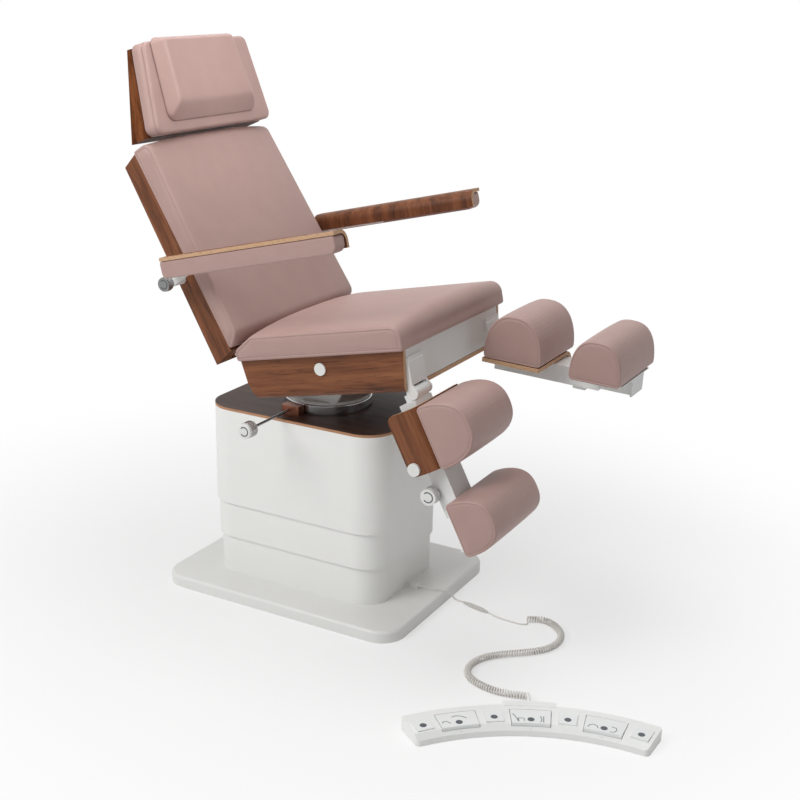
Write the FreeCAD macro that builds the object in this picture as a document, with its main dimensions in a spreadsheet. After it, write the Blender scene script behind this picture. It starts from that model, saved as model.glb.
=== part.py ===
import FreeCAD, Part
import math
import os

import Sketcher
from FreeCAD import Placement, Rotation, Vector

# A podiatry chair: telescoping base, swivelling and tilting seat, reclining back,
# headrest on rods, two armrests, two separate leg rests and a foot control on a cord.
# Millimetres. +X is forward, +Y the sitter's left, +Z up, origin on the floor
# under the middle of the base plate.

document = FreeCAD.newDocument("PodiatryChair")
sheet = document.addObject("Spreadsheet::Sheet", "Sizes")

# Driving dimensions, one alias each. Angles in degrees.
DRIVING = {
    # General clearances and overruns
    "running_gap": 0.05,
    "slide_gap": 0.5,
    "rest_gap": 0.3,
    "overrun": 2,
    # Base plate
    "plate_length": 810,
    "plate_width": 626,
    "plate_height": 36,
    "plate_corner": 75,
    "plate_edge_round": 10,
    "plate_skin": 8,
    "plate_rim": 30,
    "plate_rib": 44,
    # Mains inlet in the rear rim
    "inlet_width": 48,
    "inlet_height": 24,
    "inlet_bottom": 6,
    "inlet_place": 150,
    "inlet_wall": 4,
    "inlet_socket_depth": 18,
    "inlet_pin_length": 12,
    "inlet_pin_width": 5,
    "inlet_pin_thickness": 2,
    "inlet_pin_pitch": 12,
    # Telescoping covers
    "cover_length": 604,
    "cover_width": 424,
    "cover_corner": 90,
    "cover_wall": 3,
    "cover_gap": 4,
    "cover_shift": -4,
    "lower_cover_height": 264,
    "middle_cover_base": 154,
    "middle_cover_height": 270,
    "upper_cover_base": 266,
    "upper_cover_height": 296,
    "board_thickness": 8,
    # Lifting column, three square stages
    "column_size": 190,
    "column_wall": 6,
    "column_outer_height": 264,
    "column_middle_base": 150,
    "column_inner_base": 262,
    "column_flange": 230,
    "column_flange_thickness": 8,
    "carrier_thickness": 6,
    # Lift motor beside the column
    "motor_offset": 5.5,
    "gearcase_length": 76,
    "gearcase_width": 96,
    "gearcase_height": 62,
    "motor_radius": 30,
    "motor_height": 112,
    "motor_neck_radius": 12,
    "motor_neck_height": 10,
    # Gland on the base plate
    "gland_length": 28,
    "gland_width": 28,
    "gland_height": 17,
    "gland_start": 300,
    "gland_side": -6,
    "gland_round": 5,
    "gland_nose_radius": 6,
    "gland_nose_length": 6,
    "gland_bore_height": 9,
    # Swivel ring and turntable
    "ring_radius": 132,
    "ring_base_radius": 124,
    "ring_base_height": 6,
    "ring_height": 28,
    "ring_bore": 60,
    "ring_edge_round": 3,
    "turntable_radius": 128,
    "turntable_thickness": 8,
    "spigot_depth": 20,
    "cheek_offset": 101,
    "cheek_thickness": 10,
    "cheek_boss_radius": 26,
    "cheek_rear_foot": -25,
    "cheek_front_foot": 90,
    # Swivel lock
    "lock_place": -27,
    "lock_inner_edge": -135,
    "lock_block_length": 60,
    "lock_block_depth": 32,
    "lock_block_height": 27,
    "lock_block_round": 5,
    "lock_rod_height": 16,
    "lock_rod_radius": 4,
    "lock_rod_inset": 24,
    "lock_knob_face": -394,
    "lock_knob_length": 40,
    "knob_radius": 22,
    "knob_edge_round": 4,
    # Seat frame of reference
    "tilt_x": 158,
    "tilt_z": 771,
    "seat_angle": 12,
    # Seat shell, in the seat's own frame
    "shell_half_width": 291.5,
    "shell_wall": 12,
    "shell_bend": 20,
    "shell_top": 37.7,
    "shell_drop": 78,
    "shell_rear_top": 263.5,
    "shell_rear_mid": 253,
    "shell_rear_mid_drop": 31,
    "shell_rear_low": 244.2,
    "shell_rear_low_drop": 52.4,
    "shell_rear_bottom": 229.2,
    "shell_front_top": 267.4,
    "shell_front_bottom": 250.9,
    "slot_rear": 195,
    "slot_front": 30,
    "slot_width": 22,
    # Seat frame
    "rail_width": 17,
    "rail_height": 50,
    "rail_rear": 240,
    "rail_front": 257,
    "tube_size": 30,
    "rear_tube_place": 200,
    "front_tube_place": 165,
    "front_plate_thickness": 3,
    "front_plate_low": 65,
    "lug_side_gap": 50.5,
    "lug_thickness": 10,
    "lug_radius": 15,
    "lug_reach": 84,
    # Leg pivots and their brackets, in the seat's own frame
    "leg_pivot_x": 434,
    "leg_pivot_z": 745,
    "bracket_side_gap": 1.5,
    "bracket_width": 83,
    "leg_overhang": 7,
    "bracket_cheek": 8,
    "bracket_face": 5,
    "bracket_face_place": 269,
    "bracket_face_low": 61,
    "bracket_top": 15,
    "bracket_bevel": 14,
    "bracket_radius": 17,
    "bracket_notch": 26,
    "leg_shaft_radius": 10,
    "tilt_shaft_radius": 12,
    "tilt_cap_radius": 17.5,
    "tilt_cap_thickness": 5,
    # Seat cushion
    "seat_cushion_overhang": 21.5,
    "seat_cushion_rear": 262,
    "seat_cushion_front": 278,
    "seat_cushion_top": 107,
    "seat_cushion_crown": 19,
    "seat_nose_radius": 33,
    "seat_tail_length": 60,
    "side_inset": 4,
    # Back, in its own frame: x forward of the rear face, z up the back
    "back_base_x": -174.2,
    "back_base_z": 734.2,
    "back_angle": 32.1,
    "back_pivot_u": 266,
    "back_pivot_v": 20,
    "back_shaft_radius": 8,
    "back_overhang": 21.5,
    "back_taper": 30,
    "back_wall": 12,
    "back_height": 616,
    "back_top_rise": 15,
    "back_bottom_depth": 68,
    "back_bottom_rise": 14,
    "back_top_depth": 51.3,
    "back_cushion_overhang": 5,
    "back_cushion_low": 15,
    "back_cushion_rise": 22,
    "back_cushion_front_low": 113.6,
    "back_cushion_slope_share": 0.797,
    "back_cushion_front_high": 117,
    "back_cushion_crown": 19,
    "back_cushion_round": 26,
    # Back frame
    "post_arm_gap": 5,
    "post_width": 24,
    "post_depth": 28,
    "post_low": 26,
    "post_top_gap": 56,
    "guide_pitch": 64,
    "guide_rise": 15,
    "guide_thickness": 14,
    "guide_depth": 34,
    "arm_lug_gap": 12,
    "arm_thickness": 10,
    "arm_slot_gap": 1.5,
    # Headrest rods
    "rod_radius": 4.5,
    "rod_half_pitch": 65,
    "rod_place": 38,
    "rod_drop": 206,
    "rod_rise": 77.7,
    "bar_radius": 7,
    "rod_hole_gap": 1.5,
    # Head shell, wedge shaped, in its own frame
    "head_corner_forward": 108.2,
    "head_corner_rise": 34.3,
    "head_angle": 16.5,
    "head_height": 247.5,
    "head_foot_depth": 55.5,
    "head_foot_drop": 6.8,
    "head_top_depth": 14,
    "head_half_low": 275.5,
    "head_half_high": 240,
    "head_wall": 10,
    "head_cushion_depth": 50,
    "head_cushion_crown": 10,
    "head_cushion_round": 22,
    "head_corner": 26,
    "hinge_block_half": 48,
    "hinge_block_radius": 16,
    "hinge_block_reach": 40,
    # Head pillow
    "pillow_half_low": 212,
    "pillow_half_high": 208,
    "pillow_low": 33,
    "pillow_high": 252,
    "pillow_depth": 22,
    "pillow_bevel": 46,
    # Armrests, in their own frame from the clamp pin
    "armrest_pin_place": 19,
    "armrest_pin_height": 259.5,
    "armrest_angle": 13.7,
    "armrest_side_gap": 38,
    "armrest_width": 60,
    "armrest_top": 76.5,
    "armrest_ply": 10,
    "armrest_bend": 30,
    "armrest_rear": 31,
    "armrest_length": 575,
    "armrest_pad_low": 26,
    "armrest_pad_round": 13,
    "armrest_pad_inset": 6,
    "armrest_bracket_plate": 6,
    "armrest_bracket_inset": 3,
    "armrest_bracket_length": 92,
    "armrest_bracket_boss": 13,
    "armrest_flange_length": 240,
    "armrest_flange_thickness": 4,
    "armrest_pin_radius": 4.5,
    "armrest_pin_depth": 10,
    "armrest_stub_length": 12,
    "armrest_hub_gap": 1.5,
    "armrest_knob_radius": 19.5,
    "armrest_knob_length": 20,
    # Leg rests, in their own frame from the leg pivot
    "near_leg_angle": 62.35,
    "far_leg_angle": 2.3,
    "beam_top": 4,
    "beam_low": 48,
    "beam_start": 20,
    "beam_end": 345,
    "beam_wall": 5,
    "hub_radius": 16,
    "hub_gap": 1,
    "neck_low": 32,
    "mount_start": 50,
    "mount_end": 190,
    "mount_rise": 3,
    "mount_inset": 5,
    "clamp_lug_start": 250,
    "clamp_lug_length": 38,
    "clamp_lug_width": 42,
    "clamp_lug_drop": 24,
    "clamp_pin_drop": 54,
    "clamp_pin_radius": 5,
    "clamp_pin_depth": 36,
    "clamp_neck_radius": 17,
    "clamp_neck_length": 10,
    "clamp_knob_radius": 23,
    "clamp_knob_length": 26,
    # Calf cover and calf pad
    "calf_ply": 12,
    "calf_cover_start": 33,
    "calf_cover_length": 174,
    "calf_cover_inner": 75,
    "calf_cover_overhang": 42,
    "calf_cover_bend": 46,
    "calf_cover_drop": 74,
    "calf_cover_corner": 18,
    "calf_cap_radius": 18,
    "calf_cap_thickness": 7,
    "calf_cap_place": 186,
    "calf_cap_drop": 54,
    "calf_cap_pin": 5,
    "calf_pad_start": 34,
    "calf_pad_length": 178,
    "calf_pad_height": 134,
    "calf_pad_inner": 75,
    "calf_pad_inset": 2,
    "pad_crown": 5,
    # Foot slide and foot pad
    "slide_start": 190,
    "slide_end": 438,
    "slide_wall": 4,
    "foot_plate_start": 302,
    "foot_plate_thickness": 3,
    "foot_plate_lift": 1,
    "foot_plate_inner": 110,
    "foot_plate_overhang": 40,
    "foot_end_thickness": 5,
    "foot_end_low": 46,
    "foot_pad_start": 294,
    "foot_pad_length": 152,
    "foot_pad_height": 120,
    "foot_pad_inner": 75,
    "foot_pad_overhang": 75,
    # Foot control, a sector of a ring
    "control_x": 1185,
    "control_y": -1055,
    "control_heading": 116.3,
    "control_inner": 597,
    "control_outer": 697,
    "control_span": 56.2,
    "control_front_height": 16,
    "control_front_bevel": 13,
    "control_height": 30,
    "control_rear_rise": 4,
    "control_rear_bevel": 7,
    "control_corner": 14,
    "tab_outer": 706,
    "tab_span": 11.2,
    "tab_low": 8,
    "tab_high": 35,
    "well_floor": 8,
    "rocker_inner": 606,
    "rocker_outer": 668,
    "rocker_span": 9,
    "rocker_step": 16.7,
    "rocker_low": 13,
    "rocker_high": 33,
    "rocker_gap": 1.5,
    "rocker_pin_radius": 2,
    "rocker_pin_height": 20,
    "rocker_pin_reach": 4,
    "button_inner": 614,
    "button_outer": 662,
    "button_span": 4.2,
    "button_low": 14,
    "button_high": 34,
    "relief_end": 765,
    "relief_height": 18.7,
    "relief_radius": 7,
    "relief_tip_radius": 4,
    # Cord
    "cord_radius": 2.3,
    "curl_radius": 8.2,
    "curl_count": 99.5,
    "curl_tail": 4.6,
    "connector_radius": 6.5,
    "connector_tip_radius": 3.4,
    "connector_length": 92,
    "connector_taper": 24,
}

for row, (alias, value) in enumerate(DRIVING.items(), start=1):
    sheet.set(f"A{row}", alias.replace("_", " "))
    sheet.set(f"B{row}", str(value))
    sheet.setAlias(f"B{row}", alias)
document.recompute()


class Size:
    """A length or an angle together with the sheet formula that gives it."""

    def __init__(self, value, text):
        self.value = float(value)
        self.text = text

    def __add__(self, other):
        other = as_size(other)
        return Size(self.value + other.value, f"({self.text} + {other.text})")

    def __radd__(self, other):
        return as_size(other) + self

    def __sub__(self, other):
        other = as_size(other)
        return Size(self.value - other.value, f"({self.text} - {other.text})")

    def __rsub__(self, other):
        return as_size(other) - self

    def __mul__(self, other):
        other = as_size(other)
        return Size(self.value * other.value, f"({self.text} * {other.text})")

    def __rmul__(self, other):
        return as_size(other) * self

    def __truediv__(self, other):
        other = as_size(other)
        return Size(self.value / other.value, f"({self.text} / {other.text})")

    def __neg__(self):
        return Size(-self.value, f"(0 - {self.text})")

    def __float__(self):
        return self.value


def as_size(number):
    """Wraps a plain number, and leaves a Size as it is."""
    return number if isinstance(number, Size) else Size(number, repr(float(number)))


class Sizes:
    """Reads the sheet: Sizes().plate_length is that cell as a Size."""

    def __getattr__(self, alias):
        return Size(sheet.get(alias), f"Sizes.{alias}")


S = Sizes()
ZERO = as_size(0)
RIGHT, LEFT = -1, 1
SIDE_NAMES = {RIGHT: "right", LEFT: "left"}
nodes = []

# Sizes that follow from others: the leg brackets fill the shell's width, and the legs hang from them
bracket_half_outer = S.shell_half_width - S.shell_wall - S.bracket_side_gap
bracket_half_inner = bracket_half_outer - S.bracket_width
leg_half_outer = bracket_half_outer + S.leg_overhang
calf_cover_outer = leg_half_outer + S.calf_cover_overhang
calf_pad_outer = calf_cover_outer - S.calf_pad_inset
foot_pad_outer = leg_half_outer + S.foot_pad_overhang
foot_plate_outer = leg_half_outer + S.foot_plate_overhang
# The back is a little wider than the seat, and the armrests stand outside its cushion
lug_offset = S.shell_half_width - S.lug_side_gap
arm_offset = lug_offset + S.arm_lug_gap
post_place = arm_offset + S.post_arm_gap
seat_cushion_half = S.shell_half_width + S.seat_cushion_overhang
back_half_width = S.shell_half_width + S.back_overhang
back_cushion_half = back_half_width + S.back_cushion_overhang
armrest_inner = back_cushion_half + S.armrest_side_gap
armrest_bracket_place = armrest_inner + S.armrest_bracket_inset
# The posts, the rods' guides and the rods end at heights that follow the back's
back_cushion_high = S.back_height + S.back_cushion_rise
post_high = S.back_height - S.post_top_gap
guide_low = post_high - S.guide_pitch
guide_high = post_high + S.guide_rise
rod_low = S.back_height - S.rod_drop
rod_high = S.back_height + S.rod_rise
# The lift motor stands midway between the column's foot flange and the cover's rear wall
motor_place = S.motor_offset - (S.cover_length / 2 - S.cover_shift + S.column_flange / 2) / 2


# Helpers that make one object each, bound to the sheet

def bind(item, property_name, size):
    """Sets a property from a Size, so that it follows the sheet."""
    item.setExpression(property_name, as_size(size).text)


def move(item, x=0, y=0, z=0):
    """Puts an unturned object's base at a place that follows the sheet."""
    for axis, size in (("x", x), ("y", y), ("z", z)):
        if as_size(size).text != ZERO.text:
            bind(item, f"Placement.Base.{axis}", size)
    return item


def place(item, frame):
    """Puts an object into one of the chair's tilted frames."""
    item.Placement = frame
    return item


def node(item, name):
    """Names an object as one of the chair's pieces."""
    item.Label = name
    nodes.append(item)
    return item


def box(name, length, width, height, x=0, y=0, z=0):
    """A block whose lowest corner is at x, y, z."""
    item = document.addObject("Part::Box", name)
    bind(item, "Length", length)
    bind(item, "Width", width)
    bind(item, "Height", height)
    return move(item, x, y, z)


def centred_box(name, length, width, height, x=0, y=0, z=0):
    """A block centred on y, from x and z upward."""
    return box(name, length, width, height, x, as_size(y) - as_size(width) / 2, z)


AXES = {
    "x": Rotation(Vector(0, 1, 0), 90),
    "y": Rotation(Vector(1, 0, 0), -90),
    "z": Rotation(),
}


def cylinder(name, axis, radius, length, x=0, y=0, z=0):
    """A round bar along an axis, starting at x, y, z."""
    item = document.addObject("Part::Cylinder", name)
    bind(item, "Radius", radius)
    bind(item, "Height", length)
    item.Placement = Placement(Vector(), AXES[axis])
    return move(item, x, y, z)


def cone(name, axis, radius, tip_radius, length, x=0, y=0, z=0):
    """A tapered bar along an axis, starting at x, y, z."""
    item = document.addObject("Part::Cone", name)
    bind(item, "Radius1", radius)
    bind(item, "Radius2", tip_radius)
    bind(item, "Height", length)
    item.Placement = Placement(Vector(), AXES[axis])
    return move(item, x, y, z)


def fuse(name, items):
    """One solid of several."""
    item = document.addObject("Part::MultiFuse", name)
    item.Shapes = items
    return item


def cut(name, base, tools):
    """A solid less one or more others."""
    item = document.addObject("Part::Cut", name)
    item.Base = base
    item.Tool = tools[0] if len(tools) == 1 else fuse(name + "_tools", tools)
    return item


def group(name, items):
    """Separate solids kept in one node."""
    item = document.addObject("Part::Compound", name)
    item.Links = items
    return item


# Helpers for bodies with sketches

def new_body(name):
    return document.addObject("PartDesign::Body", name)


def sketch_on(body, role, offset=0):
    """A sketch on one of the body's own planes, raised from it by offset."""
    sketch = body.newObject("Sketcher::SketchObject", body.Name + "_sketch")
    planes = [item for item in body.Origin.OriginFeatures if item.Role == role]
    sketch.AttachmentSupport = [(planes[0], "")]
    sketch.MapMode = "FlatFace"
    if as_size(offset).text != ZERO.text:
        bind(sketch, "AttachmentOffset.Base.z", offset)
    return sketch


def pin_point(sketch, geometry, end, x, y):
    """Ties a point of the sketch to its place, given in sizes."""
    for kind, size, axis in (("DistanceX", as_size(x), -2), ("DistanceY", as_size(y), -1)):
        if size.value == 0 and size.text == ZERO.text:
            sketch.addConstraint(Sketcher.Constraint("PointOnObject", geometry, end, axis))
        else:
            index = sketch.addConstraint(Sketcher.Constraint(kind, -1, 1, geometry, end, size.value))
            bind(sketch, f"Constraints[{index}]", size)


def add_outline(sketch, points):
    """A closed outline of straight lines through the points."""
    points = [(as_size(x), as_size(y)) for x, y in points]
    first = sketch.GeometryCount
    count = len(points)
    for index, (x, y) in enumerate(points):
        next_x, next_y = points[(index + 1) % count]
        line = Part.LineSegment(Vector(x.value, y.value, 0), Vector(next_x.value, next_y.value, 0))
        sketch.addGeometry(line)
    for index in range(count):
        following = first + (index + 1) % count
        sketch.addConstraint(Sketcher.Constraint("Coincident", first + index, 2, following, 1))
    for index, (x, y) in enumerate(points):
        pin_point(sketch, first + index, 1, x, y)


def add_rectangle(sketch, low_x, low_y, high_x, high_y):
    add_outline(sketch, [(low_x, low_y), (high_x, low_y), (high_x, high_y), (low_x, high_y)])


def add_circle(sketch, x, y, radius):
    """A circle with its centre and radius tied to sizes."""
    x, y, radius = as_size(x), as_size(y), as_size(radius)
    circle = Part.Circle(Vector(x.value, y.value, 0), Vector(0, 0, 1), radius.value)
    geometry = sketch.addGeometry(circle)
    index = sketch.addConstraint(Sketcher.Constraint("Radius", geometry, radius.value))
    bind(sketch, f"Constraints[{index}]", radius)
    pin_point(sketch, geometry, 3, x, y)


def pad(body, sketch, length, midplane=False):
    """Extrudes a sketch, both ways from its plane when midplane is set."""
    item = body.newObject("PartDesign::Pad", body.Name + "_pad")
    item.Profile = sketch
    item.Midplane = midplane
    bind(item, "Length", length)
    document.recompute()
    return item


def pocket(body, sketch, depth, reverse=False, midplane=False):
    """Cuts a sketch into the body, and checks that it took material away."""
    document.recompute()
    before = body.Shape.Volume
    item = body.newObject("PartDesign::Pocket", body.Name + "_pocket")
    item.Profile = sketch
    item.Reversed = reverse
    item.Midplane = midplane
    bind(item, "Length", depth)
    document.recompute()
    if not body.Shape.Volume < before:
        raise RuntimeError(f"{body.Name}: a pocket cuts nothing")
    return item


def revolve(body, sketch, angle=None):
    """Turns a sketch about the sketch's upright axis, a full turn or centred on its plane."""
    item = body.newObject("PartDesign::Revolution", body.Name + "_turned")
    item.Profile = sketch
    item.ReferenceAxis = (sketch, ["V_Axis"])
    if angle is None:
        item.Angle = 360
    else:
        item.Midplane = True
        bind(item, "Angle", angle)
    document.recompute()
    return item


def round_edges(body, radius, wanted):
    """Rounds the edges that the test wanted(edge) picks."""
    document.recompute()
    base = body.Tip
    names = [f"Edge{i}" for i, edge in enumerate(base.Shape.Edges, start=1) if wanted(edge)]
    if not names:
        raise RuntimeError(f"{body.Name}: no edge to round")
    item = body.newObject("PartDesign::Fillet", body.Name + "_round")
    item.Base = (base, names)
    bind(item, "Radius", radius)
    document.recompute()
    return item


def along(edge, axis):
    """Whether an edge is straight and runs along an axis (0, 1 or 2)."""
    if not isinstance(edge.Curve, Part.Line):
        return False
    direction = edge.Vertexes[-1].Point - edge.Vertexes[0].Point
    return abs(abs(direction[axis]) - direction.Length) < direction.Length / 1e6


def at(edge, axis, size):
    """Whether both ends of an edge lie at a place along an axis."""
    return all(abs(v.Point[axis] - float(size)) < 1e-4 for v in edge.Vertexes)


def side_plate(name, outline, thickness, y=0):
    """A plate cut to an outline in x and z, centred on y."""
    body = new_body(name)
    sketch = sketch_on(body, "XZ_Plane")
    add_outline(sketch, outline)
    pad(body, sketch, thickness, midplane=True)
    return move(body, 0, y, 0)


def turned(name, outline):
    """A solid of revolution about z; the outline is given in radius and height."""
    body = new_body(name)
    sketch = sketch_on(body, "XZ_Plane")
    add_outline(sketch, outline)
    revolve(body, sketch)
    return body


# Frames of reference of the chair's parts

def turned_frame(x, z, degrees, y=0):
    """A frame turned about the crosswise axis; positive degrees turn its nose down."""
    return Placement(Vector(float(x), float(y), float(z)), Rotation(Vector(0, 1, 0), float(degrees)))


seat_frame_place = turned_frame(S.tilt_x, S.tilt_z, -S.seat_angle)
back_frame_place = turned_frame(S.back_base_x, S.back_base_z, -S.back_angle)
head_corner = back_frame_place.multVec(
    Vector(float(S.head_corner_forward), 0, float(S.back_height + S.head_corner_rise)))
head_frame_place = turned_frame(head_corner.x, head_corner.z, -S.head_angle)
leg_angles = {RIGHT: S.near_leg_angle, LEFT: S.far_leg_angle}
leg_places = {side: turned_frame(S.leg_pivot_x, S.leg_pivot_z, angle) for side, angle in leg_angles.items()}
armrest_pin = back_frame_place.multVec(Vector(float(S.armrest_pin_place), 0, float(S.armrest_pin_height)))
armrest_frame_place = turned_frame(armrest_pin.x, armrest_pin.z, -S.armrest_angle)
back_pin = seat_frame_place.multVec(Vector(-float(S.back_pivot_u), 0, float(S.back_pivot_v)))
leg_pin = seat_frame_place.inverse().multVec(Vector(float(S.leg_pivot_x), 0, float(S.leg_pivot_z)))


# Base plate: a ribbed steel plate with a rounded rim, with a window for the inlet

def base_plate():
    half_length, half_width = S.plate_length / 2, S.plate_width / 2
    body = new_body("base_plate_blank")
    sketch = sketch_on(body, "XY_Plane")
    add_rectangle(sketch, -half_length, -half_width, half_length, half_width)
    pad(body, sketch, S.plate_height)
    round_edges(body, S.plate_corner, lambda edge: along(edge, 2))
    round_edges(body, S.plate_edge_round, lambda edge: at(edge, 2, S.plate_height))
    cells = sketch_on(body, "XY_Plane")
    for sign_x in (-1, 1):
        for sign_y in (-1, 1):
            near_x, far_x = sign_x * S.plate_rib / 2, sign_x * (half_length - S.plate_rim)
            near_y, far_y = sign_y * S.plate_rib / 2, sign_y * (half_width - S.plate_rim)
            add_rectangle(cells, near_x, near_y, far_x, far_y)
    pocket(body, cells, S.plate_height - S.plate_skin, reverse=True)
    gap = S.rest_gap
    window = centred_box(
        "inlet_window", S.plate_rim + 2 * S.overrun, S.inlet_width + 2 * gap, S.inlet_height + gap,
        -half_length - S.overrun, S.inlet_place, S.inlet_bottom)
    node(cut("base_plate_cut", body, [window]), "base_plate")


def mains_inlet():
    """The socket for the mains lead, open to the rear, with three contact pins."""
    rear = -S.plate_length / 2
    low = S.inlet_bottom
    shell = centred_box(
        "inlet_shell", S.plate_rim, S.inlet_width, S.inlet_height, rear, S.inlet_place, low)
    hollow = centred_box(
        "inlet_hollow", S.inlet_socket_depth + S.overrun, S.inlet_width - 2 * S.inlet_wall,
        S.inlet_height - 2 * S.inlet_wall, rear - S.overrun, S.inlet_place, low + S.inlet_wall)
    body = cut("inlet_body", shell, [hollow])
    pins = []
    for step in (-1, 0, 1):
        pins.append(centred_box(
            f"inlet_pin_{step + 2}", S.inlet_pin_length + S.overrun, S.inlet_pin_thickness,
            S.inlet_pin_width, rear + S.inlet_socket_depth - S.inlet_pin_length,
            S.inlet_place + step * S.inlet_pin_pitch,
            low + S.inlet_height / 2 - S.inlet_pin_width / 2))
    return fuse("inlet_with_pins", [body] + pins)


# Telescoping covers, each a step smaller than the one outside it

def cover(name, step, base, height):
    """A rounded tube of sheet; step counts inward from the outermost cover."""
    inset = step * (S.cover_wall + S.cover_gap)
    half_length, half_width = S.cover_length / 2 - inset, S.cover_width / 2 - inset
    wall = S.cover_wall
    body = new_body(name + "_tube")
    sketch = sketch_on(body, "XY_Plane")
    add_rectangle(sketch, -half_length, -half_width, half_length, half_width)
    add_rectangle(sketch, wall - half_length, wall - half_width, half_length - wall, half_width - wall)
    pad(body, sketch, height)
    outer = half_length.value - wall.value / 2
    round_edges(body, S.cover_corner - inset,
                lambda edge: along(edge, 2) and abs(edge.Vertexes[0].X) > outer)
    round_edges(body, S.cover_corner - inset - wall,
                lambda edge: along(edge, 2) and inner_corner(edge, half_length - wall, half_width - wall))
    move(body, S.cover_shift, 0, base)
    node(body, name)


def inner_corner(edge, half_length, half_width):
    """Whether an upright edge stands on a corner of the inner rectangle."""
    point = edge.Vertexes[0].Point
    off_x = abs(abs(point.x) - half_length.value)
    off_y = abs(abs(point.y) - half_width.value)
    return off_x < 1e-4 and off_y < 1e-4


def covers():
    cover("lower_cover", 2, S.plate_height, S.lower_cover_height)
    cover("middle_cover", 1, S.middle_cover_base, S.middle_cover_height)
    cover("upper_cover", 0, S.upper_cover_base, S.upper_cover_height)


def top_board():
    body = new_body("top_board_panel")
    sketch = sketch_on(body, "XY_Plane")
    half_length, half_width = S.cover_length / 2, S.cover_width / 2
    add_rectangle(sketch, -half_length, -half_width, half_length, half_width)
    pad(body, sketch, S.board_thickness)
    round_edges(body, S.cover_corner, lambda edge: along(edge, 2))
    move(body, S.cover_shift, 0, S.upper_cover_base + S.upper_cover_height)
    node(body, "top_board")


board_base = S.upper_cover_base + S.upper_cover_height
board_top = board_base + S.board_thickness


# Lifting column of three square tubes, each sliding in the one outside it

def column_tube(name, size, wall, base, top):
    """A square tube between two heights."""
    block = centred_box(name + "_block", size, size, top - base, -size / 2, 0, base)
    bore = centred_box(name + "_bore", size - 2 * wall, size - 2 * wall,
                       top - base + 2 * S.overrun, wall - size / 2, 0, base - S.overrun)
    return block, bore


def columns():
    wall, gap = S.column_wall, S.slide_gap
    outer, flange = S.column_size, S.column_flange
    thick = S.column_flange_thickness
    plate = S.plate_height
    block, bore = column_tube("outer_stage", outer, wall, plate, plate + S.column_outer_height)
    foot = centred_box("outer_foot", flange, flange, thick, -flange / 2, 0, plate)
    node(cut("column_outer_cut", fuse("outer_stage_fused", [block, foot]), [bore]), "column_outer")

    middle = outer - 2 * wall - 2 * gap
    top = S.middle_cover_base + S.middle_cover_height
    block, bore = column_tube("middle_stage", middle, wall, S.column_middle_base, top)
    reach = 2 * (2 * S.cover_wall + S.cover_gap + S.rest_gap)
    carrier = centred_box(
        "middle_carrier", S.cover_length - reach, S.cover_width - 2 * S.cover_corner,
        S.carrier_thickness, S.cover_shift - (S.cover_length - reach) / 2, 0, top - S.carrier_thickness)
    spreader = centred_box(
        "middle_spreader", S.cover_length - 2 * S.cover_corner, S.cover_width - reach,
        S.carrier_thickness, S.cover_shift - S.cover_length / 2 + S.cover_corner, 0,
        top - S.carrier_thickness)
    stage = fuse("middle_stage_fused", [block, carrier, spreader])
    node(cut("column_middle_cut", stage, [bore]), "column_middle")

    inner = middle - 2 * wall - 2 * gap
    block, bore = column_tube("inner_stage", inner, wall, S.column_inner_base, board_base)
    head = centred_box("inner_head", flange, flange, thick, -flange / 2, 0, board_base - thick)
    node(cut("column_inner_cut", fuse("inner_stage_fused", [block, head]), [bore]), "column_inner")


def lift_motor():
    """The drive beside the column, standing on the base plate."""
    base = S.plate_height
    case = centred_box(
        "gearcase", S.gearcase_length, S.gearcase_width, S.gearcase_height,
        motor_place - S.gearcase_length / 2, 0, base)
    can = cylinder("motor_can", "z", S.motor_radius, S.motor_height,
                   motor_place, 0, base + S.gearcase_height)
    neck = cylinder("motor_neck", "z", S.motor_neck_radius, S.motor_neck_height,
                    motor_place, 0, base + S.gearcase_height + S.motor_height)
    node(fuse("lift_motor_fused", [case, can, neck]), "lift_motor")


def cord_gland():
    """The rounded gland where the control's lead leaves the base."""
    body = new_body("gland_body")
    sketch = sketch_on(body, "XY_Plane")
    half = S.gland_width / 2
    add_rectangle(sketch, 0, -half, S.gland_length, half)
    pad(body, sketch, S.gland_height)
    round_edges(body, S.gland_round, lambda edge: along(edge, 2) or at(edge, 2, S.gland_height))
    move(body, S.gland_start, S.gland_side, S.plate_height)
    end = S.gland_start + S.gland_length
    height = S.plate_height + S.gland_bore_height
    inset = S.gland_round
    nose = cylinder("gland_nose", "x", S.gland_nose_radius, S.gland_nose_length + inset,
                    end - inset, S.gland_side, height)
    return fuse("gland_fused", [body, nose])


# Swivel

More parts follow.
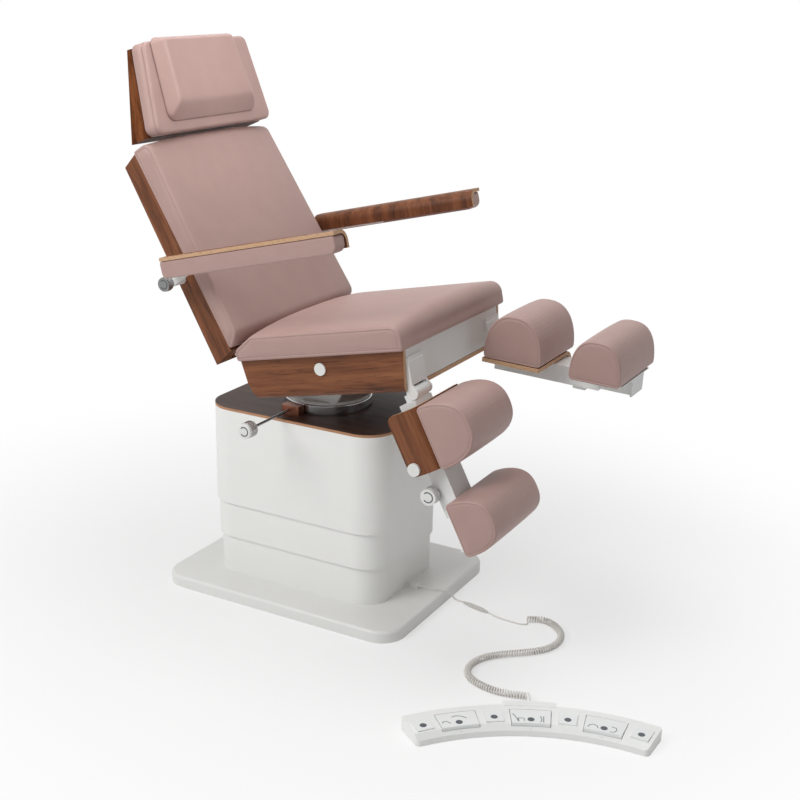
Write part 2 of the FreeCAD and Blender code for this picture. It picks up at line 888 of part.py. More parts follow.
def swivel():
    base, top = board_top, board_top + S.ring_height
    ring = turned("swivel_ring_body", [
        (S.ring_bore, base),
        (S.ring_base_radius, base),
        (S.ring_base_radius, base + S.ring_base_height),
        (S.ring_radius, base + S.ring_base_height),
        (S.ring_radius, top),
        (S.ring_bore, top),
    ])
    round_edges(ring, S.ring_edge_round, lambda edge: on_rim(edge, S.ring_radius, top))
    node(ring, "swivel_ring")

    disc_base = top + S.rest_gap
    disc_top = disc_base + S.turntable_thickness
    spigot = S.ring_bore - S.running_gap
    disc = turned("turntable_disc", [
        (0, top - S.spigot_depth),
        (spigot, top - S.spigot_depth),
        (spigot, disc_base),
        (S.turntable_radius, disc_base),
        (S.turntable_radius, disc_top),
        (0, disc_top),
    ])
    outline = [
        (S.cheek_rear_foot, disc_base + S.turntable_thickness / 2),
        (S.cheek_front_foot, disc_base + S.turntable_thickness / 2),
        (S.tilt_x + S.cheek_boss_radius, S.tilt_z),
        (S.tilt_x - S.cheek_boss_radius, S.tilt_z),
    ]
    pieces, bores = [disc], []
    for sign in (-1, 1):
        y = sign * S.cheek_offset
        pieces.append(side_plate(f"cheek_{sign + 2}", outline, S.cheek_thickness, y))
        half = S.cheek_thickness / 2
        pieces.append(cylinder(f"cheek_boss_{sign + 2}", "y", S.cheek_boss_radius,
                               S.cheek_thickness, S.tilt_x, y - half, S.tilt_z))
        bores.append(cylinder(f"cheek_bore_{sign + 2}", "y", S.tilt_shaft_radius + S.running_gap,
                              S.cheek_thickness + 2 * S.overrun, S.tilt_x,
                              y - half - S.overrun, S.tilt_z))
    node(cut("turntable_cut", fuse("turntable_fused", pieces), bores), "turntable")


def on_rim(edge, radius, height):
    """Whether an edge is the circle of a radius at a height."""
    curve = edge.Curve
    if not isinstance(curve, Part.Circle):
        return False
    return abs(curve.Radius - float(radius)) < 1e-4 and at(edge, 2, height)


def swivel_lock():
    """The clamp block beside the ring and the rod with its knob."""
    width, depth = S.lock_block_length, S.lock_block_depth
    body = new_body("lock_block_body")
    sketch = sketch_on(body, "XY_Plane")
    add_rectangle(sketch, -width / 2, -depth, width / 2, 0)
    pad(body, sketch, S.lock_block_height)
    round_edges(body, S.lock_block_round, lambda edge: along(edge, 2))
    move(body, S.lock_place, S.lock_inner_edge, board_top)
    height = board_top + S.lock_rod_height
    bore = cylinder("lock_bore", "y", S.lock_rod_radius + S.running_gap, depth + 2 * S.overrun,
                    S.lock_place, S.lock_inner_edge - depth - S.overrun, height)
    node(cut("lock_block_cut", body, [bore]), "swivel_lock_block")

    inner_end = S.lock_inner_edge - depth + S.lock_rod_inset
    knob_start = S.lock_knob_face + S.lock_knob_length
    knob = turned("lock_knob_body", [
        (0, 0),
        (S.knob_radius * 3 / 4, 0),
        (S.knob_radius, S.lock_knob_length / 4),
        (S.knob_radius, S.lock_knob_length),
        (0, S.lock_knob_length),
    ])
    round_edges(knob, S.knob_edge_round, lambda edge: on_rim(edge, S.knob_radius, S.lock_knob_length))
    knob.Placement = Placement(Vector(), Rotation(Vector(1, 0, 0), 90))
    move(knob, S.lock_place, knob_start, height)
    rod = cylinder("lock_rod", "y", S.lock_rod_radius, inner_end - knob_start + S.overrun,
                   S.lock_place, knob_start - S.overrun, height)
    node(fuse("lock_knob_fused", [knob, rod]), "swivel_lock_knob")


# Seat

def seat_shell():
    """Bent plywood, two sides and a bottom, cut to a slanted outline."""
    half, wall, top, drop = S.shell_half_width, S.shell_wall, S.shell_top, S.shell_drop
    body = new_body("seat_shell_body")
    rear = S.shell_rear_top
    length = S.shell_front_top + rear
    sketch = sketch_on(body, "YZ_Plane", -rear)
    add_outline(sketch, [
        (-half, -drop), (half, -drop), (half, top), (half - wall, top),
        (half - wall, wall - drop), (wall - half, wall - drop), (wall - half, top), (-half, top),
    ])
    pad(body, sketch, length)
    round_edges(body, S.shell_bend, lambda edge: along(edge, 0) and at(edge, 2, -drop))
    round_edges(body, S.shell_bend - wall, lambda edge: along(edge, 0) and at(edge, 2, wall - drop))
    trims = sketch_on(body, "XZ_Plane")
    over = S.overrun
    add_outline(trims, [
        (-rear - over, top), (-rear, top), (-S.shell_rear_mid, -S.shell_rear_mid_drop),
        (-S.shell_rear_low, -S.shell_rear_low_drop), (-S.shell_rear_bottom, -drop),
        (-S.shell_rear_bottom, -drop - over), (-rear - over, -drop - over),
    ])
    front_top, front_bottom = S.shell_front_top, S.shell_front_bottom
    add_outline(trims, [
        (front_top, top), (front_bottom, -drop), (front_bottom, -drop - over),
        (front_top + over, -drop - over), (front_top + over, top),
    ])
    pocket(body, trims, 2 * half + 2 * over, midplane=True)
    slots = sketch_on(body, "XY_Plane")
    for sign in (-1, 1):
        low, high = S.cheek_offset - S.slot_width / 2, S.cheek_offset + S.slot_width / 2
        add_rectangle(slots, -S.slot_rear, sign * low, S.slot_front, sign * high)
    pocket(body, slots, drop + over)
    notches = sketch_on(body, "XY_Plane")
    reach = half - wall - S.rest_gap
    for sign in (-1, 1):
        add_rectangle(notches, front_bottom + over - S.bracket_notch + S.bracket_radius,
                      sign * (bracket_half_inner - over / 2), front_top + over, sign * reach)
    pocket(body, notches, drop + over)
    holes = sketch_on(body, "XZ_Plane")
    add_circle(holes, 0, 0, S.tilt_shaft_radius + S.rest_gap)
    pocket(body, holes, 2 * half + 2 * over, midplane=True)
    node(place(body, seat_frame_place), "seat_shell")


def seat_frame():
    """The welded steel frame inside the shell, with the leg brackets in front."""
    inner = S.shell_half_width - S.shell_wall - S.rest_gap
    half_rail = S.rail_height / 2
    rail_length = S.rail_rear + S.rail_front
    rail_inner = inner - S.rail_width
    pieces, bores = [], []
    for sign in (-1, 1):
        tag = SIDE_NAMES[sign]
        y = sign * (inner - S.rail_width / 2)
        pieces.append(centred_box(f"rail_{tag}", rail_length, S.rail_width, S.rail_height,
                                  -S.rail_rear, y, -half_rail))
        bores.append(cylinder(f"rail_bore_{tag}", "y", S.tilt_shaft_radius + S.running_gap,
                              S.rail_width + 2 * S.overrun, 0,
                              y - S.rail_width / 2 - S.overrun, 0))
        lug_y = sign * lug_offset
        u, v = -S.back_pivot_u, S.back_pivot_v
        pieces.append(side_plate(f"lug_arm_{tag}", [
            (u, v - S.lug_radius), (u + S.lug_reach, -half_rail), (u + S.lug_reach, half_rail),
            (u, v + S.lug_radius)], S.lug_thickness, lug_y))
        pieces.append(centred_box(f"lug_tie_{tag}", S.tube_size, rail_inner - lug_offset + S.lug_thickness,
                                  S.tube_size, -S.rear_tube_place,
                                  sign * (rail_inner + lug_offset) / 2, -half_rail))
        pieces.append(cylinder(f"lug_eye_{tag}", "y", S.lug_radius, S.lug_thickness,
                               u, lug_y - S.lug_thickness / 2, v))
        bores.append(cylinder(f"lug_bore_{tag}", "y", S.back_shaft_radius + S.running_gap,
                              S.lug_thickness + 2 * S.overrun, u,
                              lug_y - S.lug_thickness / 2 - S.overrun, v))
    for label, u in (("rear", -S.rear_tube_place), ("front", S.front_tube_place)):
        pieces.append(centred_box(f"{label}_tube", S.tube_size, 2 * rail_inner + 2 * S.overrun,
                                  S.tube_size, u, 0, -half_rail))
    front = S.shell_front_top - S.rest_gap
    slope = (S.shell_front_top - S.shell_front_bottom) / (S.shell_top + S.shell_drop)
    thick = S.front_plate_thickness
    bend = S.shell_bend - S.shell_wall
    for label, low, half in (("wide", S.front_plate_low - bend, inner), ("narrow", S.front_plate_low, inner - bend)):
        low_front = front - slope * (S.shell_top + low)
        pieces.append(side_plate(f"front_plate_{label}", [
            (front, S.shell_top), (low_front, -low), (low_front - thick, -low),
            (front - thick, S.shell_top)], 2 * half))
    pieces.append(centred_box("front_beam", S.tube_size, 2 * rail_inner + 2 * S.overrun, S.rail_height,
                              S.rail_front - S.tube_size, 0, -half_rail))
    frame = cut("seat_frame_cut", fuse("seat_frame_fused", pieces), bores)
    node(place(frame, seat_frame_place), "seat_frame")


def leg_brackets():
    """The two brackets on the front plate that carry the legs' shafts."""
    brackets = [leg_bracket(sign) for sign in (-1, 1)]
    node(place(group("leg_brackets_group", brackets), seat_frame_place), "leg_brackets")


def leg_bracket(sign):
    """Two cheeks, a face and a back plate around the hub of one leg."""
    tag = SIDE_NAMES[sign]
    u, v = as_pivot()
    face, top = S.bracket_face_place, S.bracket_top
    root, low_root = front_edge(top), front_edge(-S.shell_drop)
    outline = [
        (low_root, -S.shell_drop), (u - S.bracket_radius, v), (u, v - S.bracket_radius),
        (u + S.bracket_radius * 2 / 3, v + S.bracket_radius * 2 / 3),
        (face, -S.bracket_face_low), (face, top - S.bracket_bevel),
        (face - S.bracket_face, top), (root, top),
    ]
    pieces, bores = [], []
    half_cheek = S.bracket_cheek / 2
    for label, y in (("inner", bracket_half_inner + half_cheek), ("outer", bracket_half_outer - half_cheek)):
        pieces.append(side_plate(f"bracket_{label}_{tag}", outline, S.bracket_cheek, sign * y))
        pieces.append(cylinder(f"bracket_eye_{label}_{tag}", "y", S.bracket_radius, S.bracket_cheek,
                               u, sign * y - half_cheek, v))
        bores.append(cylinder(f"bracket_bore_{label}_{tag}", "y", S.leg_shaft_radius + S.running_gap,
                              S.bracket_cheek + 2 * S.overrun, u,
                              sign * y - half_cheek - S.overrun, v))
    width = bracket_half_outer - bracket_half_inner
    middle = sign * (bracket_half_outer + bracket_half_inner) / 2
    pieces.append(side_plate(f"bracket_face_{tag}", [
        (face - S.bracket_face, -S.bracket_face_low), (face, -S.bracket_face_low),
        (face, top - S.bracket_bevel), (face - S.bracket_face, top),
        (root, top)], width, middle))
    low = S.front_plate_low - S.rest_gap
    thick = S.bracket_face
    pieces.append(side_plate(f"bracket_back_{tag}", [
        (front_edge(top), top), (front_edge(-low), -low),
        (front_edge(-low) + thick, -low), (front_edge(top) + thick, top)], width, middle))
    return cut(f"leg_bracket_cut_{tag}", fuse(f"leg_bracket_fused_{tag}", pieces), bores)


def front_edge(v):
    """How far forward the seat shell's slanted front edge is at a height above the seat's origin."""
    slope = (S.shell_front_top - S.shell_front_bottom) / (S.shell_top + S.shell_drop)
    return S.shell_front_top - slope * (S.shell_top - v)


def as_pivot():
    """The leg pivot in the seat's own frame, worked out from its place in the chair."""
    return Size(leg_pin.x, leg_pivot_text("u")), Size(leg_pin.z, leg_pivot_text("v"))


def leg_pivot_text(axis):
    """The sheet formula of the leg pivot along the seat, u, or above it, v."""
    x = "(Sizes.leg_pivot_x - Sizes.tilt_x)"
    z = "(Sizes.leg_pivot_z - Sizes.tilt_z)"
    cosine, sine = "cos(Sizes.seat_angle)", "sin(Sizes.seat_angle)"
    if axis == "u":
        return f"({x} * {cosine} + {z} * {sine})"
    return f"({z} * {cosine} - {x} * {sine})"


def hinge_shafts():
    """The tilt shaft with its caps, the back pin and the two leg shafts."""
    half = S.shell_half_width
    cap = S.tilt_cap_thickness
    reach = half + S.rest_gap
    bar = cylinder("tilt_bar", "y", S.tilt_shaft_radius, 2 * reach, 0, -reach, 0)
    near_cap = cylinder("tilt_cap_right", "y", S.tilt_cap_radius, cap, 0, -reach - cap, 0)
    far_cap = cylinder("tilt_cap_left", "y", S.tilt_cap_radius, cap, 0, reach, 0)
    shafts = [fuse("tilt_shaft", [bar, near_cap, far_cap])]
    back_reach = arm_offset + S.arm_thickness
    shafts.append(cylinder("back_shaft", "y", S.back_shaft_radius, 2 * back_reach,
                           -S.back_pivot_u, -back_reach, S.back_pivot_v))
    u, v = as_pivot()
    length = bracket_half_outer - bracket_half_inner
    for sign in (-1, 1):
        start = bracket_half_inner if sign > 0 else -bracket_half_outer
        shafts.append(cylinder(f"leg_shaft_{SIDE_NAMES[sign]}", "y", S.leg_shaft_radius, length, u, start, v))
    node(place(group("hinge_shafts_group", shafts), seat_frame_place), "hinge_shafts")


# Cushions: lofts between outlines of lines and arcs, crowned in the middle

def wire_of(steps):
    """A closed wire; each step is an end point, or a (middle, end) pair for an arc."""
    start = steps[-1][-1] if isinstance(steps[-1], tuple) else steps[-1]
    edges = []
    for step in steps:
        if isinstance(step, tuple):
            edges.append(Part.Arc(start, step[0], step[1]).toShape())
            start = step[1]
        else:
            edges.append(Part.LineSegment(start, step).toShape())
            start = step
    return Part.Wire(edges)


def lofted(name, wires, frame):
    """A closed solid through the wires, put into its frame."""
    shape = Part.makeLoft(wires, True, True)
    if shape.Volume < 0:
        shape.reverse()
    item = document.addObject("Part::Feature", name + "_form")
    item.Shape = shape
    item.Placement = frame
    return node(item, name)


# Shares of a cushion's half width where its outlines stand, and how full each one is
STATION_SHARES = (-1, -0.985, -0.93, -0.78, -0.45, 0, 0.45, 0.78, 0.93, 0.985, 1)
FULL_SHARES = (0, 0.1, 0.3, 0.62, 0.92, 1, 0.92, 0.62, 0.3, 0.1, 0)


def corner_arc(corner, before, after, radius):
    """The middle and end of an arc that rounds a corner, with its start."""
    back = (before - corner).normalize()
    ahead = (after - corner).normalize()
    half_angle = back.getAngle(ahead) / 2
    run = radius / math.tan(half_angle)
    centre = corner + (back + ahead).normalize() * (radius / math.sin(half_angle))
    middle = centre + (corner - centre).normalize() * radius
    return corner + back * run, middle, corner + ahead * run


def rounded_outline(corners, radii):
    """A closed wire through corners in a plane, each rounded to its radius."""
    steps = []
    count = len(corners)
    for index, corner in enumerate(corners):
        start, middle, end = corner_arc(
            corner, corners[index - 1], corners[(index + 1) % count], radii[index])
        steps.append(start)
        steps.append((middle, end))
    return wire_of(steps)


def seat_cushion():
    half = float(seat_cushion_half)
    low = float(S.shell_top + S.rest_gap)
    rear, front = -float(S.seat_cushion_rear), float(S.seat_cushion_front)
    wires = []
    for station, full in zip(STATION_SHARES, FULL_SHARES):
        inset = float(S.side_inset) * (1 - min(1, full / FULL_SHARES[2]))
        top = float(S.seat_cushion_top) + float(S.seat_cushion_crown) * full
        y = station * half
        nose = float(S.seat_nose_radius)
        corners = [
            Vector(rear + inset, y, low), Vector(front - inset, y, low),
            Vector(front - inset, y, top - inset),
            Vector(rear + float(S.seat_tail_length), y, top - inset),
            Vector(rear + inset, y, (low + top) / 2),
        ]
        small = nose / 3
        wires.append(rounded_outline(corners, [small, small, nose, nose, small]))
    lofted("seat_cushion", wires, seat_frame_place)


# Back

def back_depth(height):
    """The side panel's depth at a height up the back."""
    low, high = S.back_bottom_depth, S.back_top_depth
    share = (height - S.back_bottom_rise) / (S.back_height + S.back_top_rise - S.back_bottom_rise)
    return low + (high - low) * share


def back_half_at(height):
    """Half the back's width at a height up the back, which narrows to the top."""
    return back_half_width - S.back_taper * height / S.back_height


def tapered_block(name, outline, inset):
    """An outline across the whole back, drawn in from its slanted sides by an inset."""
    body = new_body(name)
    sketch = sketch_on(body, "XZ_Plane")
    add_outline(sketch, outline)
    pad(body, sketch, 2 * back_half_width, midplane=True)
    over = S.overrun
    foot, top = -S.back_wall, S.back_height + S.back_top_rise + S.back_wall
    depth = 2 * (S.back_bottom_depth + S.back_wall)
    for sign in (-1, 1):
        low, high = back_half_at(foot) - inset, back_half_at(top) - inset
        outer = back_half_width + S.back_taper
        side = sketch_on(body, "YZ_Plane")
        add_outline(side, [(sign * low, foot), (sign * outer, foot), (sign * outer, top), (sign * high, top)])
        pocket(body, side, depth + over, midplane=True)
    return body


def back_shell():
    """A walnut tray, narrower at the top: rear panel, sides, top and bottom, open to the cushion."""
    wall, over = S.back_wall, S.overrun
    top = S.back_height + S.back_top_rise
    body = tapered_block("back_shell_body", [
        (0, 0), (S.back_bottom_depth, S.back_bottom_rise), (S.back_top_depth, top), (0, S.back_height)], ZERO)
    hollow = tapered_block("back_hollow_body", [
        (wall, 2 * wall), (S.back_bottom_depth + over, S.back_bottom_rise + wall),
        (S.back_bottom_depth + over, top - wall), (wall, S.back_height - wall)], wall)
    tools = [hollow]
    half = back_half_at(S.armrest_pin_height)
    for sign in (-1, 1):
        tag = SIDE_NAMES[sign]
        width = S.arm_thickness + 2 * S.arm_slot_gap
        depth = S.back_bottom_depth - wall
        tools.append(centred_box(f"arm_slot_{tag}", depth, width, 4 * wall, wall,
                                 sign * arm_offset, -wall))
        tools.append(cylinder(f"rod_hole_{tag}", "z", S.rod_radius + S.rod_hole_gap, 4 * wall,
                              S.rod_place, sign * S.rod_half_pitch, S.back_height - 2 * wall))
        start = half - S.armrest_pin_depth if sign > 0 else -half - S.overrun
        tools.append(cylinder(f"pin_hole_{tag}", "y", S.armrest_pin_radius + S.running_gap,
                              S.armrest_pin_depth + S.overrun, S.armrest_pin_place, start,
                              S.armrest_pin_height))
    shell = cut("back_shell_cut", body, tools)
    node(place(shell, back_frame_place), "back_shell")


def back_pin_local():
    """The back's hinge pin in the back's own frame."""
    return back_frame_place.inverse().multVec(back_pin)


def back_frame():
    """Two posts with hinge arms below, and two guides for the headrest rods."""
    pin = back_pin_local()
    pin_x, pin_z = pin.x, pin.z
    rest = S.back_wall + S.rest_gap
    pieces, bores = [], []
    for sign in (-1, 1):
        tag = SIDE_NAMES[sign]
        y = sign * post_place
        pieces.append(centred_box(f"post_{tag}", S.post_depth, S.post_width,
                                  post_high - S.post_low, rest, y, S.post_low))
        arm_y = sign * arm_offset
        arm = new_body(f"hinge_arm_{tag}")
        sketch = sketch_on(arm, "XZ_Plane")
        radius = S.lug_radius
        add_outline(sketch, [
            (pin_x - radius, pin_z), (pin_x + radius, pin_z),
            (rest + S.post_depth, 2 * S.post_depth), (rest, 2 * S.post_depth)])
        pad(arm, sketch, S.arm_thickness, midplane=True)
        move(arm, 0, arm_y, 0)
        pieces.append(arm)
        half_arm = S.arm_thickness / 2
        pieces.append(cylinder(f"arm_eye_{tag}", "y", radius, S.arm_thickness,
                               pin_x, arm_y - half_arm, pin_z))
        bores.append(cylinder(f"arm_bore_{tag}", "y", S.back_shaft_radius + S.running_gap,
                              S.arm_thickness + 2 * S.overrun, pin_x,
                              arm_y - half_arm - S.overrun, pin_z))
        bores.append(cylinder(f"guide_bore_{tag}", "z", S.rod_radius + S.running_gap,
                              guide_high - guide_low + S.guide_thickness + 2 * S.overrun,
                              S.rod_place, sign * S.rod_half_pitch, guide_low - S.overrun))
    for label, z in (("low", guide_low), ("high", post_high - S.guide_thickness), ("foot", S.post_low)):
        pieces.append(centred_box(f"guide_{label}", S.guide_depth, 2 * post_place,
                                  S.guide_thickness, rest, 0, z))
    frame = cut("back_frame_cut", fuse("back_frame_fused", pieces), bores)
    node(place(frame, back_frame_place), "back_frame")


def back_cushion():
    gap = float(S.rest_gap)
    low, high = float(S.back_cushion_low), float(back_cushion_high)
    round_radius = float(S.back_cushion_round)
    wires = []
    for station, full in zip(STATION_SHARES, FULL_SHARES):
        inset = float(S.side_inset) * (1 - min(1, full / FULL_SHARES[2]))
        crown = float(S.back_cushion_crown) * full
        front_low = float(S.back_cushion_front_low) + crown - inset
        front_high = float(S.back_cushion_front_high) + crown - inset
        rise = (front_low - float(S.back_bottom_depth)) * float(S.back_cushion_slope_share)
        corners = [
            Vector(x, station * float(back_half_at(z) + S.back_cushion_overhang), z)
            for x, z in ((back_rear(low) + gap, low + inset), (front_low, low + rise + inset),
                         (front_high, high - inset), (back_rear(high) + gap, high - inset))]
        small = round_radius / 4
        wires.append(rounded_outline(corners, [small, round_radius, round_radius, small]))
    lofted("back_cushion", wires, back_frame_place)


def back_rear(height):
    """Where the cushion's rear face stands at a height up the back."""
    return float(back_depth(as_size(height)))


# Headrest

def head_rods():
    """Two rods that slide in the back, joined by the bar that the headrest tilts on."""
    length = rod_high - rod_low
    pieces = [
        cylinder(f"head_rod_{SIDE_NAMES[sign]}", "z", S.rod_radius, length,
                 S.rod_place, sign * S.rod_half_pitch, rod_low)
        for sign in (-1, 1)]
    reach = S.rod_half_pitch + S.rod_radius + S.overrun
    pieces.append(cylinder("head_bar", "y", S.bar_radius, 2 * reach, S.rod_place, -reach, rod_high))
    node(place(fuse("head_rods_fused", pieces), back_frame_place), "head_rods")


def head_outline(half_low, half_high, height, low=0):
    """A trapezium as wide as the headrest, in y and z."""
    return [(-half_low, low), (half_low, low), (half_high, height), (-half_high, height)]


def head_shell():
    """A walnut wedge, thick at the foot, hollow behind the cushion."""
    body = new_body("head_shell_body")
    sketch = sketch_on(body, "YZ_Plane", -S.head_foot_depth)
    over = S.overrun
    low = -S.head_foot_drop
    add_outline(sketch, head_outline(S.head_half_low, S.head_half_high, S.head_height, low))
    pad(body, sketch, S.head_foot_depth)
    wedge = sketch_on(body, "XZ_Plane")
    add_outline(wedge, [
        (-S.head_foot_depth, low), (-S.head_top_depth, S.head_height),
        (-S.head_top_depth, S.head_height + over), (-S.head_foot_depth - over, S.head_height + over),
        (-S.head_foot_depth - over, low)])
    pocket(body, wedge, 2 * S.head_half_low + 2 * over, midplane=True)
    foot = sketch_on(body, "XZ_Plane")
    add_outline(foot, [
        (over, -low / 30), (-S.head_foot_depth - over, low), (-S.head_foot_depth - over, low - over),
        (over, low - over)])
    pocket(body, foot, 2 * S.head_half_low + 2 * over, midplane=True)
    wall = S.head_wall
    hollow = sketch_on(body, "XZ_Plane")
    add_outline(hollow, [
        (over, wall + wall / 2), (wall - S.head_foot_depth + wall / 5, wall),
        (-S.head_top_depth - wall / 2, S.head_height * 2 / 3), (over, S.head_height * 2 / 3)])
    pocket(body, hollow, 2 * (S.head_half_high - wall), midplane=True)
    bar = head_frame_place.inverse().multVec(head_bar_place())
    block = side_plate("head_hinge_arm", [
        (bar.x, bar.z - S.hinge_block_radius.value),
        (S.head_wall / 2 - S.head_foot_depth, bar.z - S.hinge_block_radius.value),
        (S.head_wall / 2 - S.head_foot_depth + S.head_wall / 2, bar.z + S.hinge_block_reach.value),
        (bar.x, bar.z + S.hinge_block_radius.value)], 2 * S.hinge_block_half)
    eye = cylinder("head_hinge_eye", "y", S.hinge_block_radius, 2 * S.hinge_block_half,
                   bar.x, -S.hinge_block_half, bar.z)
    bore = cylinder("head_hinge_bore", "y", S.bar_radius + S.running_gap,
                    2 * S.hinge_block_half + 2 * over, bar.x, -S.hinge_block_half - over, bar.z)
    shell = cut("head_shell_cut", fuse("head_shell_fused", [body, block, eye]), [bore])
    node(place(shell, head_frame_place), "head_shell")


def head_bar_place():
    """The middle of the bar that the headrest tilts on, in the chair's frame."""
    return back_frame_place.multVec(Vector(float(S.rod_place), 0, float(rod_high)))


# Shares of the head cushion's depth, with how far its outline is drawn in there
HEAD_DEPTH_SHARES = (0, 0.12, 0.6, 0.86, 1)
HEAD_INSET_SHARES = (0.12, 0, 0, 0.25, 0.85)


def head_cushion():
    depth, crown = float(S.head_cushion_depth), float(S.head_cushion_crown)
    soft = float(S.head_cushion_round)
    low, high = 0, float(S.head_height)
    wires = []
    for depth_share, inset_share in zip(HEAD_DEPTH_SHARES, HEAD_INSET_SHARES):
        inset = inset_share * soft
        x = float(S.rest_gap) + depth_share * depth
        half_low, half_high = float(S.head_half_low) - inset, float(S.head_half_high) - inset
        corners = [
            Vector(x, -half_low, low + inset), Vector(x, half_low, low + inset),
            Vector(x, half_high, high + crown - inset), Vector(x, -half_high, high + crown - inset)]
        wires.append(rounded_outline(corners, [float(S.head_corner)] * len(corners)))
    lofted("head_cushion", wires, head_frame_place)


# The pillow's outline shrinks by its bevel over the last share of its depth
PILLOW_DEPTH_SHARES = (0, 0.2, 0.75, 1)
PILLOW_INSET_SHARES = (0, 0.1, 0.75, 1.15)
PILLOW_LOW_SHARE = 0.7


def head_pillow():
    start = float(S.head_cushion_depth + 2 * S.rest_gap)
    bevel = float(S.pillow_bevel)
    wires = []
    for depth_share, inset_share in zip(PILLOW_DEPTH_SHARES, PILLOW_INSET_SHARES):
        inset = inset_share * bevel
        x = start + depth_share * float(S.pillow_depth)
        half_low, half_high = float(S.pillow_half_low) - inset, float(S.pillow_half_high) - inset
        low, high = float(S.pillow_low) + inset * PILLOW_LOW_SHARE, float(S.pillow_high) - inset / 4
        corners = [
            Vector(x, -half_low, low), Vector(x, half_low, low),
            Vector(x, half_high, high), Vector(x, -half_high, high)]
        wires.append(rounded_outline(corners, [bevel / 2] * len(corners)))
    lofted("head_pillow", wires, head_frame_place)


# Armrests

def armrest(side):
    """Bracket, bent plywood shell and pad of one armrest, made about its pin."""
    tag = SIDE_NAMES[side]
    frame = armrest_frame_place
    inner, width, top, ply = armrest_inner, S.armrest_width, S.armrest_top, S.armrest_ply
    outer = inner + width
    shell = new_body(f"armrest_shell_body_{tag}")
    sketch = sketch_on(shell, "YZ_Plane", S.armrest_rear)
    low = S.armrest_pad_low
    add_outline(sketch, [
        (side * inner, low), (side * (inner + ply), low), (side * (inner + ply), top - ply),
        (side * outer, top - ply), (side * outer, top), (side * inner, top)])
    pad(shell, sketch, S.armrest_length)
    bend, corner = S.armrest_bend, abs(float(inner))
    round_edges(shell, bend, lambda edge: along(edge, 0) and at_corner(edge, corner, top))
    round_edges(shell, bend - ply, lambda edge: along(edge, 0) and at_corner(edge, corner + ply.value, top - ply))
    node(place(shell, frame), f"armrest_shell_{tag}")

    gap = S.rest_gap
    soft = new_body(f"armrest_pad_body_{tag}")
    sketch = sketch_on(soft, "YZ_Plane", S.armrest_rear + S.armrest_pad_inset / 2)
    pad_inner, pad_top = inner + ply + gap, top - ply - gap
    slant = bend - ply
    add_outline(sketch, [
        (side * pad_inner, low), (side * outer, low), (side * outer, pad_top),
        (side * (pad_inner + slant), pad_top), (side * pad_inner, pad_top - slant)])
    pad(soft, sketch, S.armrest_length - S.armrest_pad_inset)
    round_edges(soft, S.armrest_pad_round, lambda edge: at_side(edge, outer) and not at(edge, 2, pad_top))
    node(place(soft, frame), f"armrest_pad_{tag}")

    plate_place = side * (armrest_bracket_place + S.armrest_bracket_plate / 2)
    boss, length = S.armrest_bracket_boss, S.armrest_bracket_length
    flange_top = low - gap
    flange = S.armrest_flange_thickness
    plate = side_plate(f"armrest_plate_{tag}", [
        (-boss / 2, -boss), (boss / 2, -boss), (length, flange_top - flange),
        (length, flange_top), (-boss, flange_top)],
        S.armrest_bracket_plate, plate_place)
    side_wall = back_half_at(S.armrest_pin_height)
    hub_start = side_wall + S.armrest_hub_gap
    hub_length = armrest_bracket_place - hub_start + S.armrest_bracket_plate
    hub = cylinder(f"armrest_hub_{tag}", "y", boss, hub_length, 0,
                   hub_start if side > 0 else -hub_start - hub_length, 0)
    bar = centred_box(f"armrest_flange_{tag}", S.armrest_flange_length, width * 2 / 3, flange,
                      S.armrest_rear + boss, side * (inner + width * 2 / 5), flange_top - flange)
    pin_start = side_wall - S.armrest_pin_depth + S.overrun
    pin_end = hub_start + S.overrun
    pin = cylinder(f"armrest_pin_{tag}", "y", S.armrest_pin_radius, pin_end - pin_start, 0,
                   pin_start if side > 0 else -pin_end, 0)
    bore_start = hub_start + hub_length - S.armrest_stub_length
    bore_length = S.armrest_stub_length + S.overrun
    bore = cylinder(f"armrest_bore_{tag}", "y", S.armrest_pin_radius + S.running_gap, bore_length, 0,
                    bore_start if side > 0 else -bore_start - bore_length, 0)
    bracket = cut(f"armrest_bracket_cut_{tag}",
                  fuse(f"armrest_bracket_fused_{tag}", [plate, hub, pin, bar]), [bore])
    node(place(bracket, frame), f"armrest_bracket_{tag}")

    knob_start = armrest_bracket_place + S.armrest_bracket_plate + gap
    stub_start = bore_start + gap
    stub_length = knob_start - stub_start + S.overrun
    knob_length = S.armrest_knob_length
    if side > 0:
        head = cylinder(f"armrest_knob_head_{tag}", "y", S.armrest_knob_radius, knob_length, 0, knob_start, 0)
        stub = cylinder(f"armrest_stub_{tag}", "y", S.armrest_pin_radius, stub_length, 0, stub_start, 0)
    else:
        head = cylinder(f"armrest_knob_head_{tag}", "y", S.armrest_knob_radius, knob_length,
                        0, -knob_start - knob_length, 0)
        stub = cylinder(f"armrest_stub_{tag}", "y", S.armrest_pin_radius, stub_length, 0,
                        -stub_start - stub_length, 0)
    knob = fuse(f"armrest_knob_fused_{tag}", [head, stub])
    node(place(knob, frame), f"armrest_knob_{tag}")


def at_corner(edge, y, z):
    """Whether an edge stands at a corner, on either side of the chair."""
    point = edge.Vertexes[0].Point
    return abs(abs(point.y) - float(y)) < 1e-4 and abs(point.z - float(z)) < 1e-4


def at_side(edge, y):
    """Whether an edge lies at a distance from the middle, on either side."""
    return all(abs(abs(v.Point.y) - float(y)) < 1e-4 for v in edge.Vertexes)


# Leg rests

